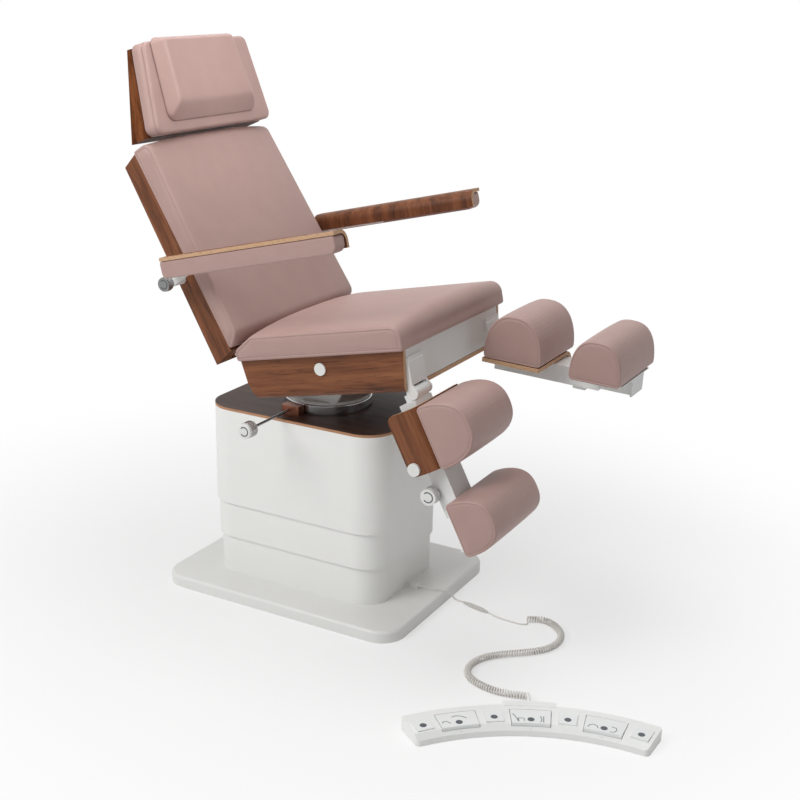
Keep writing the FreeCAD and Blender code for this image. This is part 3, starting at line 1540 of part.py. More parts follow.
def leg(side):
    """Arm, calf cover, calf pad, cap, foot slide, foot pad and clamp knob of one leg."""
    tag = SIDE_NAMES[side]
    frame = leg_places[side]
    middle = side * (bracket_half_inner + leg_half_outer) / 2
    width = leg_half_outer - bracket_half_inner
    leg_arm(tag, side, frame, middle, width)
    calf_cover(tag, side, frame)
    foot_slide(tag, side, frame, middle, width)
    clamp_knob(tag, side, frame)
    shaped_pad(f"calf_pad_{tag}", side, frame, S.calf_pad_start, S.calf_pad_length,
               S.beam_top + S.mount_rise + S.calf_ply + S.rest_gap, S.calf_pad_height,
               S.calf_pad_inner, calf_pad_outer)
    shaped_pad(f"foot_pad_{tag}", side, frame, S.foot_pad_start, S.foot_pad_length,
               S.beam_top + S.foot_plate_lift + S.foot_plate_thickness + S.rest_gap, S.foot_pad_height,
               S.foot_pad_inner, foot_pad_outer)


def leg_arm(tag, side, frame, middle, width):
    """A box tube with a hub at its top, a mounting plate and a clamp lug."""
    height = S.beam_top + S.beam_low
    beam = centred_box(f"beam_{tag}", S.beam_end - S.beam_start, width, height,
                       S.beam_start, middle, -S.beam_low)
    hub_width = bracket_half_outer - bracket_half_inner - 2 * S.bracket_cheek - 2 * S.hub_gap
    hub_middle = side * (bracket_half_inner + bracket_half_outer) / 2
    hub = cylinder(f"hub_{tag}", "y", S.hub_radius, hub_width, 0, hub_middle - hub_width / 2, 0)
    neck = centred_box(f"neck_{tag}", S.beam_start + S.overrun, hub_width, S.neck_low + S.beam_top,
                       0, hub_middle, -S.neck_low)
    mount = centred_box(f"mount_{tag}", S.mount_end - S.mount_start, width - 2 * S.mount_inset,
                        S.mount_rise + S.overrun, S.mount_start, middle, S.beam_top - S.overrun)
    lug_middle = side * (leg_half_outer - S.clamp_lug_width / 2)
    lug = centred_box(f"clamp_lug_{tag}", S.clamp_lug_length, S.clamp_lug_width,
                      S.clamp_lug_drop + S.beam_wall, S.clamp_lug_start, lug_middle,
                      -S.beam_low - S.clamp_lug_drop)
    wall = S.beam_wall
    hollow = centred_box(f"beam_hollow_{tag}", S.beam_end - S.slide_start + S.beam_start + S.overrun,
                         width - 2 * wall, height - 2 * wall, S.slide_start - S.beam_start,
                         middle, wall - S.beam_low)
    bore = cylinder(f"hub_bore_{tag}", "y", S.leg_shaft_radius + S.running_gap,
                    hub_width + 2 * S.overrun, 0, hub_middle - hub_width / 2 - S.overrun, 0)
    pin_bore_start = side * leg_half_outer
    depth = S.clamp_pin_depth + S.overrun
    pin_bore = cylinder(f"clamp_bore_{tag}", "y", S.clamp_pin_radius + S.running_gap, depth,
                        clamp_pin_place(), pin_bore_start - S.clamp_pin_depth if side > 0
                        else pin_bore_start - S.overrun, -S.clamp_pin_drop)
    arm = cut(f"leg_arm_cut_{tag}", fuse(f"leg_arm_fused_{tag}", [beam, hub, neck, mount, lug]),
              [hollow, bore, pin_bore])
    node(place(arm, frame), f"leg_arm_{tag}")


def clamp_pin_place():
    """How far down the leg the clamp knob's pin sits."""
    return S.clamp_lug_start + S.clamp_lug_length / 2


def clamp_knob(tag, side, frame):
    """Knob, dark neck and pin of the clamp that holds the foot slide."""
    start = leg_half_outer + S.rest_gap
    neck, length = S.clamp_neck_length, S.clamp_knob_length
    pin_length = S.clamp_pin_depth - S.overrun
    u, v = clamp_pin_place(), -S.clamp_pin_drop
    parts = (
        ("pin", S.clamp_pin_radius, start - pin_length, pin_length + S.overrun),
        ("neck", S.clamp_neck_radius, start, neck),
        ("head", S.clamp_knob_radius, start + neck - S.rest_gap, length),
    )
    pieces = []
    for label, radius, low, run in parts:
        y = low if side > 0 else -low - run
        pieces.append(cylinder(f"leg_knob_{label}_{tag}", "y", radius, run, u, y, v))
    node(place(fuse(f"leg_knob_fused_{tag}", pieces), frame), f"leg_knob_{tag}")


def calf_cover(tag, side, frame):
    """Bent plywood under the calf pad that curls down the leg's outer side."""
    ply, bend = S.calf_ply, S.calf_cover_bend
    low = S.beam_top + S.mount_rise
    inner, outer = S.calf_cover_inner, calf_cover_outer
    body = new_body(f"calf_cover_body_{tag}")
    sketch = sketch_on(body, "YZ_Plane", S.calf_cover_start)
    add_outline(sketch, [
        (side * inner, low), (side * (outer - ply), low), (side * (outer - ply), -S.calf_cover_drop),
        (side * outer, -S.calf_cover_drop), (side * outer, low + ply), (side * inner, low + ply)])
    pad(body, sketch, S.calf_cover_length)
    round_edges(body, bend, lambda edge: along(edge, 0) and at_corner(edge, outer, low + ply))
    round_edges(body, bend - ply, lambda edge: along(edge, 0) and at_corner(edge, outer - ply, low))
    round_edges(body, S.calf_cover_corner,
                lambda edge: along(edge, 1) and at(edge, 2, -S.calf_cover_drop))
    u, v = S.calf_cap_place, -S.calf_cap_drop
    hole_start = outer - ply - S.overrun
    run = ply + 2 * S.overrun
    hole = cylinder(f"cap_hole_{tag}", "y", S.calf_cap_pin + S.running_gap, run, u,
                    hole_start if side > 0 else -hole_start - run, v)
    cover_cut = cut(f"calf_cover_cut_{tag}", body, [hole])
    node(place(cover_cut, frame), f"calf_cover_{tag}")

    pieces = []
    reach = ply + S.overrun
    for label, radius, low_y, length in (
            ("head", S.calf_cap_radius, outer, S.calf_cap_thickness),
            ("pin", S.calf_cap_pin, outer - reach, reach + S.overrun)):
        y = low_y if side > 0 else -low_y - length
        pieces.append(cylinder(f"calf_cap_{label}_{tag}", "y", radius, length, u, y, v))
    node(place(fuse(f"calf_cap_fused_{tag}", pieces), frame), f"calf_cap_{tag}")


def foot_slide(tag, side, frame, middle, width):
    """The tube that slides in the arm, with the plate under the foot pad."""
    inset = S.beam_wall + S.slide_gap
    wall = S.slide_wall
    tube_width = width - 2 * inset
    height = S.beam_top + S.beam_low - 2 * inset
    low = inset - S.beam_low
    tube = centred_box(f"slide_tube_{tag}", S.slide_end - S.slide_start, tube_width, height,
                       S.slide_start, middle, low)
    bore = centred_box(f"slide_bore_{tag}", S.slide_end - S.slide_start + 2 * S.overrun,
                       tube_width - 2 * wall, height - 2 * wall, S.slide_start - S.overrun,
                       middle, low + wall)
    plate_low = S.beam_top + S.foot_plate_lift
    plate_width = foot_plate_outer - S.foot_plate_inner
    plate_middle = side * (foot_plate_outer + S.foot_plate_inner) / 2
    plate_end = S.slide_end + S.foot_end_thickness
    plate = centred_box(f"foot_plate_{tag}", plate_end - S.foot_plate_start, plate_width,
                        S.foot_plate_thickness, S.foot_plate_start, plate_middle, plate_low)
    end = centred_box(f"foot_end_{tag}", S.foot_end_thickness, width,
                      S.foot_end_low + plate_low + S.foot_plate_thickness, S.slide_end, middle,
                      -S.foot_end_low)
    sleeve = cut(f"slide_sleeve_{tag}", tube, [bore])
    node(place(fuse(f"foot_slide_fused_{tag}", [sleeve, plate, end]), frame), f"foot_slide_{tag}")


# Shares of a leg pad's width where its outlines stand, and how full each one is
PAD_STATION_SHARES = (0, 0.02, 0.08, 0.28, 0.5, 0.72, 0.92, 0.98, 1)
PAD_FULL_SHARES = (-0.9, 0, 0.35, 0.85, 1, 0.85, 0.35, 0, -0.9)
PAD_ROUNDNESS_SHARE = 0.8


def shaped_pad(name, side, frame, start, length, base, height, inner, outer):
    """A half-round pad, crowned between its two ends."""
    half, rise, crown = float(length) / 2, float(height), float(S.pad_crown)
    centre, base = float(start) + half, float(base)
    wires = []
    for station, full in zip(PAD_STATION_SHARES, PAD_FULL_SHARES):
        grow = crown * full
        y = side * (float(inner) + station * (float(outer) - float(inner)))
        points = []
        for turn in range(9):
            angle = math.pi * turn / 8
            across = signed_power(math.cos(angle), PAD_ROUNDNESS_SHARE) * (half + grow / 2)
            up = signed_power(math.sin(angle), PAD_ROUNDNESS_SHARE) * (rise + grow)
            points.append(Vector(centre + across, y, base + up))
        steps = [points[0]]
        for turn in range(1, 9, 2):
            steps.append((points[turn], points[turn + 1]))
        wires.append(wire_of(steps))
    lofted(name, wires, frame)


def signed_power(number, power):
    return math.copysign(abs(number) ** power, number)


# Foot control: pieces are made about the ring's centre and then turned into place

def control_place(turn=0):
    """The foot control's frame, its x axis pointing at the cord, turned by degrees."""
    heading = Rotation(Vector(0, 0, 1), float(S.control_heading) + float(turn))
    return Placement(Vector(float(S.control_x), float(S.control_y), 0), heading)


def sector(name, outline, span, turn=0):
    """A stretch of a ring, from an outline in radius and height."""
    body = new_body(name)
    sketch = sketch_on(body, "XZ_Plane")
    add_outline(sketch, outline)
    revolve(body, sketch, span)
    body.Placement = Placement(Vector(), Rotation(Vector(0, 0, 1), float(turn)))
    return body


def sector_box(name, inner, outer, low, high, span, turn=0):
    return sector(name, [(inner, low), (outer, low), (outer, high), (inner, high)], span, turn)


def rocker_turns():
    return [step * float(S.rocker_step) for step in (-1, 0, 1)]


def button_turns():
    return [step * float(S.rocker_step) / 2 for step in (-3, -1, 1, 3)]


def foot_control():
    inner, outer, front = S.control_inner, S.control_outer, S.control_front_height
    rear_top = S.control_height + S.control_rear_rise
    casing = sector("control_casing", [
        (inner, 0), (outer, 0), (outer, rear_top - S.control_rear_bevel),
        (outer - S.control_rear_bevel, rear_top), (inner + S.control_front_bevel, S.control_height),
        (inner, front)], S.control_span)
    round_edges(casing, S.control_corner, lambda edge: along(edge, 2))
    tab = sector_box("control_tab", outer - S.control_corner, S.tab_outer, S.tab_low, S.tab_high, S.tab_span)
    relief_start = S.tab_outer - S.overrun
    relief = cone("control_relief", "x", S.relief_radius, S.relief_tip_radius,
                  S.relief_end - relief_start, relief_start, 0, S.relief_height)
    high = rear_top + S.overrun
    wells = []
    for index, turn in enumerate(rocker_turns(), start=1):
        gap = S.rocker_gap
        gap_angle = 2 * gap / S.rocker_inner * 180 / math.pi
        wells.append(sector_box(f"rocker_well_{index}", S.rocker_inner - gap, S.rocker_outer + gap,
                                S.well_floor, high, S.rocker_span + gap_angle, turn))
        reach = S.rocker_pin_reach + gap + S.overrun / 4
        bore = cylinder(f"rocker_bore_{index}", "x", S.rocker_pin_radius + S.running_gap,
                        S.rocker_outer - S.rocker_inner + 2 * reach)
        wells.append(turn_about_ring(bore, S.rocker_inner - reach, S.rocker_pin_height, turn))
    for index, turn in enumerate(button_turns(), start=1):
        gap = S.rest_gap
        gap_angle = 2 * gap / S.button_inner * 180 / math.pi
        wells.append(sector_box(f"button_well_{index}", S.button_inner - gap, S.button_outer + gap,
                                S.well_floor, high, S.button_span + gap_angle, turn))
    housing = cut("control_housing_cut", fuse("control_housing_fused", [casing, tab, relief]), wells)
    node(place(housing, control_place()), "control_housing")
    for index, turn in enumerate(rocker_turns(), start=1):
        rocker(index, turn)
    for index, turn in enumerate(button_turns(), start=1):
        key = sector_box(f"button_body_{index}", S.button_inner, S.button_outer,
                         S.button_low, S.button_high, S.button_span)
        node(place(key, control_place(turn)), f"button_{index}")


def turn_about_ring(item, radius, height, turn):
    """Moves a bar along x out to a radius and turns it about the ring's centre."""
    spin = Rotation(Vector(0, 0, 1), float(turn))
    base = spin.multVec(Vector(float(radius), 0, float(height)))
    item.Placement = Placement(base, spin.multiply(AXES["x"]))
    return item


def rocker(index, turn):
    """One rocking key with its pivot pin through it."""
    key = sector_box(f"rocker_key_{index}", S.rocker_inner, S.rocker_outer,
                     S.rocker_low, S.rocker_high, S.rocker_span)
    reach = S.rocker_pin_reach + S.rocker_gap
    pin = cylinder(f"rocker_pin_{index}", "x", S.rocker_pin_radius,
                   S.rocker_outer - S.rocker_inner + 2 * reach,
                   S.rocker_inner - reach, 0, S.rocker_pin_height)
    node(place(fuse(f"rocker_fused_{index}", [key, pin]), control_place(turn)), f"rocker_{index}")


# Cord: routes are places on the floor chosen by hand, in x, y and z

PLATE_SIDE_ROUTE = (
    (334.4, -6, 45), (350, -6, 44.6), (371, -3, 43.6), (392, 4, 43.2), (410, 14, 40),
    (420, 22.5, 29), (426, 29, 16), (434, 34.5, 6.8), (447, 35.6, 6.5), (459, 32.8, 6.5),
)
CONNECTOR_HEADING = -13.1
CONTROL_SIDE_ROUTE = (
    (548.6, 11.9, 6.5), (562, 8.8, 5), (580, 5.2, 2.6), (603, 2.8, 2.3), (628, 1.6, 2.3),
    (649, 1.2, 2.3), (664, 3.6, 2.3), (673, 8.6, 2.3), (675.2, 15.8, 2.3), (672.3, 21.5, 2.3),
)
CURLY_ROUTE = (
    (670, 26), (692, 41.5), (718, 46), (745, 37), (769, 18.5), (788, -5), (799, -33), (801, -63),
    (794, -93), (780, -120), (757, -145), (731, -167), (703, -190), (677, -215), (656, -244),
    (645, -275), (643, -306), (651, -334), (669, -357), (695, -372), (724, -380.5), (754, -384.5),
    (784, -382.5), (813.5, -374.7), (843.9, -364.8),
)


def tube_path(route):
    """Straight runs joined by tangent arcs, with the radius of each arc."""
    points = [Vector(*point) for point in route]
    edges, radii = [], []
    start = points[0]
    for before, corner, after in zip(points, points[1:], points[2:]):
        back, ahead = before - corner, after - corner
        half_turn = (math.pi - back.getAngle(ahead)) / 2
        radius = 0.45 * min(back.Length, ahead.Length) / math.tan(half_turn)
        first, middle, last = corner_arc(corner, before, after, radius)
        edges.append(Part.LineSegment(start, first).toShape())
        edges.append(Part.Arc(first, middle, last).toShape())
        radii.append(radius)
        start = last
    edges.append(Part.LineSegment(start, points[-1]).toShape())
    return Part.Wire(edges), radii


def swept_tube(name, route, radius):
    """A round tube along a route; its volume is compared with section times length."""
    path, radii = tube_path(route)
    start = path.Edges[0].Vertexes[0].Point
    direction = path.Edges[0].tangentAt(path.Edges[0].FirstParameter)
    section = Part.Wire([Part.makeCircle(radius, start, direction)])
    solid = path.makePipeShell([section], True, False)
    expected = math.pi * radius ** 2 * path.Length
    print(f"{name}: length {path.Length:.1f}, smallest radius {min(radii):.1f}, "
          f"volume {solid.Volume:.0f} for {expected:.0f}")
    if abs(solid.Volume - expected) > expected / 50:
        raise RuntimeError(f"{name}: the tube's volume is off")
    return solid


# Steps of half a turn in the curls, and points on each step where the gap is measured
HALF_TURN = math.pi
GAP_POINTS = 12


def curl_point(path, length, share):
    """The curls' place and heading at a share of the route, on the floor at its start."""
    near = min(max(share, 1 / length), 1 - 1 / length) * length
    before, after = (path_point(path, near + step) for step in (-1, 1))
    ahead = (after - before).normalize()
    centre = path_point(path, share * length)
    side = ahead.cross(Vector(0, 0, 1))
    turns = float(S.curl_count)
    angle = -HALF_TURN / 2 - 2 * HALF_TURN * turns * share
    radius = float(S.curl_radius)
    place = centre + side * (radius * math.cos(angle)) + Vector(0, 0, radius * math.sin(angle))
    rate = -2 * HALF_TURN * turns / length * radius
    heading = ahead + side * (-rate * math.sin(angle)) + Vector(0, 0, rate * math.cos(angle))
    return place, heading.normalize()


def path_point(path, distance):
    """The place at a distance along a wire."""
    edges = path.Edges
    for edge in edges[:-1]:
        if distance <= edge.Length:
            return edge.valueAt(edge.getParameterByLength(max(distance, 0)))
        distance -= edge.Length
    return edges[-1].valueAt(edges[-1].getParameterByLength(min(distance, edges[-1].Length)))


def arc_from(start, corner, end):
    """The arc from start to end whose end tangents meet at the corner."""
    _, middle, _ = corner_arc(corner, start, end, corner_radius(start, corner, end))
    return Part.Arc(start, middle, end).toShape()


def corner_radius(start, corner, end):
    """The radius of the arc that leaves one leg of a corner and joins the other."""
    half_angle = (start - corner).getAngle(end - corner) / 2
    return (start - corner).Length * math.tan(half_angle)


def biarc(start, heading, end, end_heading):
    """Two arcs that join two places with given headings, and where they meet."""
    between, both = end - start, heading + end_heading
    bend = 2 * (1 - heading.dot(end_heading))
    along_both = between.dot(both)
    reach = (-along_both + math.sqrt(along_both ** 2 + bend * between.dot(between))) / bend
    first, second = start + heading * reach, end - end_heading * reach
    middle = (first + second) / 2
    return [arc_from(start, first, middle), arc_from(middle, second, end)]


def curls(route):
    """The curly cord as one unbroken tube of arcs, straight at both ends."""
    path, _ = tube_path(route)
    length = path.Length
    steps = round(2 * float(S.curl_count))
    points = [curl_point(path, length, step / steps) for step in range(steps + 1)]
    tail = float(S.curl_tail)
    start, heading = points[0]
    end, end_heading = points[-1]
    edges = [Part.LineSegment(start - heading * tail, start).toShape()]
    for (place, ahead), (next_place, next_ahead) in zip(points, points[1:]):
        edges += biarc(place, ahead, next_place, next_ahead)
    edges.append(Part.LineSegment(end, end + end_heading * tail).toShape())
    wire = Part.Wire(edges)
    radius = float(S.cord_radius)
    tightest = min(edge.Curve.Radius for edge in edges[1:-1])
    print(f"curly_cord: {steps / 2} curls, tightest arc {tightest:.2f}, "
          f"least gap to itself {least_gap(edges[1:-1], radius):.2f}")
    section = Part.Wire([Part.makeCircle(radius, start - heading * tail, heading)])
    solid = wire.makePipeShell([section], True, False)
    expected = math.pi * radius ** 2 * wire.Length
    print(f"curly_cord: length {wire.Length:.0f} on a route of {length:.1f}, "
          f"volume {solid.Volume:.0f} for {expected:.0f}")
    if abs(solid.Volume - expected) > expected / 50:
        raise RuntimeError("curly_cord: the tube's volume is off")
    return solid


def least_gap(edges, radius):
    """The least clear distance between points on neighbouring curls."""
    points = [point for edge in edges for point in edge.discretize(GAP_POINTS)[:-1]]
    turn = 4 * (GAP_POINTS - 1)
    least = math.inf
    for index, point in enumerate(points):
        for other in points[index + turn * 3 // 4:index + turn * 5 // 4]:
            least = min(least, point.distanceToPoint(other))
        for other in points[index + 2 * turn::GAP_POINTS]:
            least = min(least, point.distanceToPoint(other))
    return least - 2 * radius


def cord():
    radius = float(S.cord_radius)
    for name, route in (("lead_plate_side", PLATE_SIDE_ROUTE), ("lead_control_side", CONTROL_SIDE_ROUTE)):
        item = document.addObject("Part::Feature", name + "_tube")
        item.Shape = swept_tube(name, route, radius)
        node(item, name)
    inline_connector()
    height = float(S.curl_radius + S.cord_radius)
    route = [(x, y, height) for x, y in CURLY_ROUTE]
    item = document.addObject("Part::Feature", "curly_cord_tube")
    item.Shape = curls(route)
    node(item, "curly_cord")


def inline_connector():
    """The slim coupling between the two leads, tapered at both ends."""
    radius, tip, length = S.connector_radius, S.connector_tip_radius, S.connector_length
    taper = S.connector_taper
    body = turned("connector_body", [
        (0, 0), (tip, 0), (radius, taper), (radius, length - taper), (tip, length), (0, length)])
    start = Vector(*PLATE_SIDE_ROUTE[-1])
    heading = Rotation(Vector(0, 0, 1), CONNECTOR_HEADING)
    node(place(body, Placement(start, heading.multiply(AXES["x"]))), "inline_connector")


def build():
    """Makes every piece in turn, from the floor up."""
    base_plate()
    node(group("cable_entries_group", [mains_inlet(), cord_gland()]), "cable_entries")
    covers()
    top_board()
    columns()
    lift_motor()
    swivel()
    swivel_lock()
    seat_shell()
    seat_frame()
    leg_brackets()
    hinge_shafts()
    seat_cushion()
    back_shell()
    back_frame()
    back_cushion()
    head_rods()
    head_shell()
    head_cushion()
    head_pillow()
    for side in (RIGHT, LEFT):
        armrest(side)
        leg(side)
    foot_control()
    cord()


def check():
    """Stops on a failed object or an unsound piece."""
    document.recompute()
    for item in document.Objects:
        if {"Invalid", "Error"} & set(item.State):
            raise RuntimeError(f"{item.Name}: {item.State}")
    for item in nodes:
        shape = item.Shape
        if shape.isNull() or not shape.isValid() or shape.Volume <= 0:
            raise RuntimeError(f"{item.Label}: the shape is not sound")
        if len(shape.Solids) != 1 and item.TypeId != "Part::Compound":
            raise RuntimeError(f"{item.Label}: {len(shape.Solids)} solids")


def export():
    """Writes one file for each piece."""
    os.makedirs("parts", exist_ok=True)
    for item in nodes:
        item.Shape.exportStep(f"parts/{item.Label}.step")
    print(f"{len(nodes)} pieces written")


build()
check()
export()
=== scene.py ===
"""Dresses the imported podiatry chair: finishes, upholstery, cords, small fittings, camera and light."""

from __future__ import annotations

import logging
import math
from dataclasses import dataclass
from enum import Enum
from functools import cached_property, reduce
from typing import Iterable, Sequence

import bmesh
import bpy
import numpy as np
from mathutils import Matrix, Vector

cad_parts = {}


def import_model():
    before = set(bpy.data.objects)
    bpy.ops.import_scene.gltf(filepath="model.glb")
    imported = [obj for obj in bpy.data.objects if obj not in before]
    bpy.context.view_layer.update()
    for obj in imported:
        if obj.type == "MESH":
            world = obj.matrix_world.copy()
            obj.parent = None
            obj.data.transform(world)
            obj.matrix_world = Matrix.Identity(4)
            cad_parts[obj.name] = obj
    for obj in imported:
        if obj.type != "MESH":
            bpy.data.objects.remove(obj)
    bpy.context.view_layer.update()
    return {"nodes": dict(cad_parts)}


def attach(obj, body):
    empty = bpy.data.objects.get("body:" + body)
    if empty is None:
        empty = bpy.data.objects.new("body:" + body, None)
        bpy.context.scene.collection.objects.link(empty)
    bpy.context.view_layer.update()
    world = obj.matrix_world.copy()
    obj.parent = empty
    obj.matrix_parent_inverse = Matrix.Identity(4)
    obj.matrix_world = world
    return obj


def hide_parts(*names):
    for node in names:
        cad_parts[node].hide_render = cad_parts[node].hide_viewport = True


log = logging.getLogger("podiatry_chair")
MM = 0.001
Colour = tuple[float, float, float]
Point = tuple[float, float, float]
Corner = tuple[float, float, float]
Pair = tuple[float, float]
Socket = bpy.types.NodeSocket
NodeTree = bpy.types.NodeTree
Material = bpy.types.Material
Piece = bpy.types.Object
UP = Vector((0, 0, 1))


def srgb(red: float, green: float, blue: float) -> Colour:
    """A colour as it looks on a screen, 0 to 255, as linear light.

    Args:
        red: The red part.
        green: The green part.
        blue: The blue part.

    Returns:
        The linear colour.
    """

    def linear(part: float) -> float:
        """One part as linear light."""
        part /= 255
        return part / 12.92 if part <= 0.04045 else ((part + 0.055) / 1.055) ** 2.4

    return linear(red), linear(green), linear(blue)


def darker(colour: Colour, share: float) -> Colour:
    """A share of a colour's light."""
    return tuple(part * share for part in colour)


@dataclass(frozen=True)
class TiltedFrame:
    """A frame of reference turned about the crosswise axis.

    Attributes:
        x: Its origin forward of the chair's middle, in millimetres.
        z: Its origin above the floor, in millimetres.
        degrees: How far its nose is turned down.
    """

    x: float = 0
    z: float = 0
    degrees: float = 0

    @property
    def matrix(self) -> Matrix:
        """From local millimetres to the chair's metres."""
        turn = Matrix.Rotation(math.radians(self.degrees), 4, "Y")
        return Matrix.Translation((self.x * MM, 0, self.z * MM)) @ turn @ Matrix.Scale(MM, 4)

    def point(self, x: float, y: float, z: float) -> Vector:
        """A local place, in millimetres, as a place on the chair, in metres."""
        return self.matrix @ Vector((x, y, z))

    def inside(self, x: float, z: float, degrees: float) -> TiltedFrame:
        """A further frame that stands at a place in this one, turned against it."""
        place = self.point(x, 0, z) / MM
        return TiltedFrame(place.x, place.z, self.degrees + degrees)

    def direction(self, x: float, y: float, z: float) -> Vector:
        """A local direction as a direction on the chair."""
        return (Matrix.Rotation(math.radians(self.degrees), 3, "Y") @ Vector((x, y, z))).normalized()


SEAT = TiltedFrame(158, 771, -12)
BACK = TiltedFrame(-174.2, 734.2, -32.1)
HEAD = BACK.inside(108.2, 650.3, 15.6)
ARMREST = BACK.inside(19, 259.5, 18.4)
LEGS = {"right": TiltedFrame(434, 745, 62.35), "left": TiltedFrame(434, 745, 2.3)}
SIDES = {"right": -1, "left": 1}


# Shader nodes


def feed(tree: NodeTree, socket: Socket, value: object) -> None:
    """Links or sets one socket of a tree."""
    if isinstance(value, Value):
        value = value.socket
    if isinstance(value, Socket):
        tree.links.new(value, socket)
    elif isinstance(value, tuple) and len(value) == 3 and socket.type == "RGBA":
        socket.default_value = (*value, 1)
    else:
        socket.default_value = value


def add_node(tree: NodeTree, kind: str, settings: dict, inputs: dict) -> bpy.types.Node:
    """Adds a node.

    Args:
        tree: The tree.
        kind: The node's type.
        settings: Its settings by name.
        inputs: Values or links for its sockets, by name or index.

    Returns:
        The node.
    """
    node = tree.nodes.new(kind)
    for key, value in settings.items():
        setattr(node, key, value)
    for key, value in inputs.items():
        feed(tree, node.inputs[key], value)
    return node


class Value:
    """A shader socket that adds Math nodes when it is used in a sum."""

    def __init__(self, tree: NodeTree, socket: Socket) -> None:
        """Wraps a socket of a tree."""
        self.tree = tree
        self.socket = socket

    def maths(self, operation: str, other: Value | float = 0) -> Value:
        """Adds one Math node.

        Args:
            operation: The Math node's operation.
            other: Its second input, where it has one.

        Returns:
            The node's result.
        """
        node = add_node(self.tree, "ShaderNodeMath", {"operation": operation}, {0: self, 1: other})
        return Value(self.tree, node.outputs[0])

    def __add__(self, other: Value | float) -> Value:
        """The sum."""
        return self.maths("ADD", other)

    def __mul__(self, other: Value | float) -> Value:
        """The product."""
        return self.maths("MULTIPLY", other)

    def above(self, limit: float) -> Value:
        """1 where the value is above a limit, else 0."""
        return self.maths("GREATER_THAN", limit)

    def below(self, limit: float) -> Value:
        """1 where the value is below a limit, else 0."""
        return self.maths("LESS_THAN", limit)

    def size(self) -> Value:
        """The value without its sign."""
        return self.maths("ABSOLUTE")

    def most(self, other: Value) -> Value:
        """The larger of two values."""
        return self.maths("MAXIMUM", other)

    def between(self, low: float, high: float) -> Value:
        """Rises smoothly from 0 at low to 1 at high."""
        node = add_node(self.tree, "ShaderNodeMapRange", {"interpolation_type": "SMOOTHSTEP"},
                        {"Value": self, "From Min": low, "From Max": high})
        return Value(self.tree, node.outputs["Result"])


class Shader:
    """One material, built from nodes."""

    def __init__(self, name: str) -> None:
        """Starts an empty material with a name."""
        self.material = bpy.data.materials.new(name)
        self.material.use_nodes = True
        self.tree = self.material.node_tree
        self.tree.nodes.clear()
        self.surface = self.tree.nodes.new("ShaderNodeBsdfPrincipled")
        self.output = self.tree.nodes.new("ShaderNodeOutputMaterial")
        self.tree.links.new(self.surface.outputs["BSDF"], self.output.inputs["Surface"])

    def node(self, kind: str, inputs: dict, **settings: object) -> bpy.types.Node:
        """Adds a node to the material's tree."""
        return add_node(self.tree, kind, settings, inputs)

    def place(self, degrees: float = 0, stretch: Point = (1, 1, 1)) -> Socket:
        """The place on the object in a tilted frame, in metres, stretched along each axis."""
        coordinates = self.node("ShaderNodeTexCoord", {}).outputs["Object"]
        turn = self.node("ShaderNodeMapping", {
            "Vector": coordinates, "Rotation": (0, math.radians(-degrees), 0)})
        return self.node("ShaderNodeMapping", {
            "Vector": turn.outputs["Vector"], "Scale": stretch}).outputs["Vector"]

    def axis(self, vector: Socket, index: int) -> Value:
        """One coordinate of a vector."""
        return Value(self.tree, self.node("ShaderNodeSeparateXYZ", {0: vector}).outputs[index])

    def facing(self, direction: Vector) -> Value:
        """How squarely the surface faces a fixed direction of the chair, 1 to -1."""
        normal = self.node("ShaderNodeTexCoord", {}).outputs["Normal"]
        node = self.node("ShaderNodeVectorMath", {0: normal, 1: tuple(direction)},
                         operation="DOT_PRODUCT")
        return Value(self.tree, node.outputs["Value"])

    def noise(self, place: Socket, scale: float, detail: float, rough: float = 0.5) -> Value:
        """Smooth noise about 0.5."""
        node = self.node("ShaderNodeTexNoise", {
            "Vector": place, "Scale": scale, "Detail": detail, "Roughness": rough})
        return Value(self.tree, node.outputs["Fac"])

    def ramp(self, value: Value, stops: Sequence[tuple[float, Colour]]) -> Socket:
        """A colour that follows a value."""
        node = self.node("ShaderNodeValToRGB", {"Fac": value})
        elements = node.color_ramp.elements
        while len(elements) < len(stops):
            elements.new(1)
        for element, (place, colour) in zip(elements, stops):
            element.position = place
            element.color = (*colour, 1)
        return node.outputs["Color"]

    def mix(self, share: Value | float, first: object, second: object) -> Socket:
        """A mix of two colours; a share of 1 gives the second."""
        return self.node("ShaderNodeMix", {0: share, 6: first, 7: second}, data_type="RGBA").outputs[2]

    def finish(self, colour: object, rough: object, metal: object = 0.0, relief: Value | None = None,
               depth: float = 0.0, sheen: float = 0.0, gloss: float = 0.5) -> Material:
        """Sets the surface.

        Args:
            colour: The base colour, fixed or linked.
            rough: The roughness, fixed or linked.
            metal: The metallic share, fixed or linked.
            relief: The height of the fine relief, about 0 to 1.
            depth: The relief's real depth in metres.
            sheen: The share of sheen.
            gloss: How strongly it reflects.

        Returns:
            The material.
        """
        looks = {"Base Color": colour, "Roughness": rough, "Metallic": metal, "Sheen Weight": sheen,
                 "Specular IOR Level": gloss}
        if relief is not None:
            bump = self.node("ShaderNodeBump", {"Height": relief, "Distance": depth, "Strength": 1.0})
            looks["Normal"] = bump.outputs["Normal"]
        for key, value in looks.items():
            feed(self.tree, self.surface.inputs[key], value)
        return self.material


# Finishes


class Grain(Enum):
    """Which way the wood's grain runs in a panel's own frame."""

    ALONG = (2.2, 34.0, 34.0)
    UP = (34.0, 34.0, 2.2)


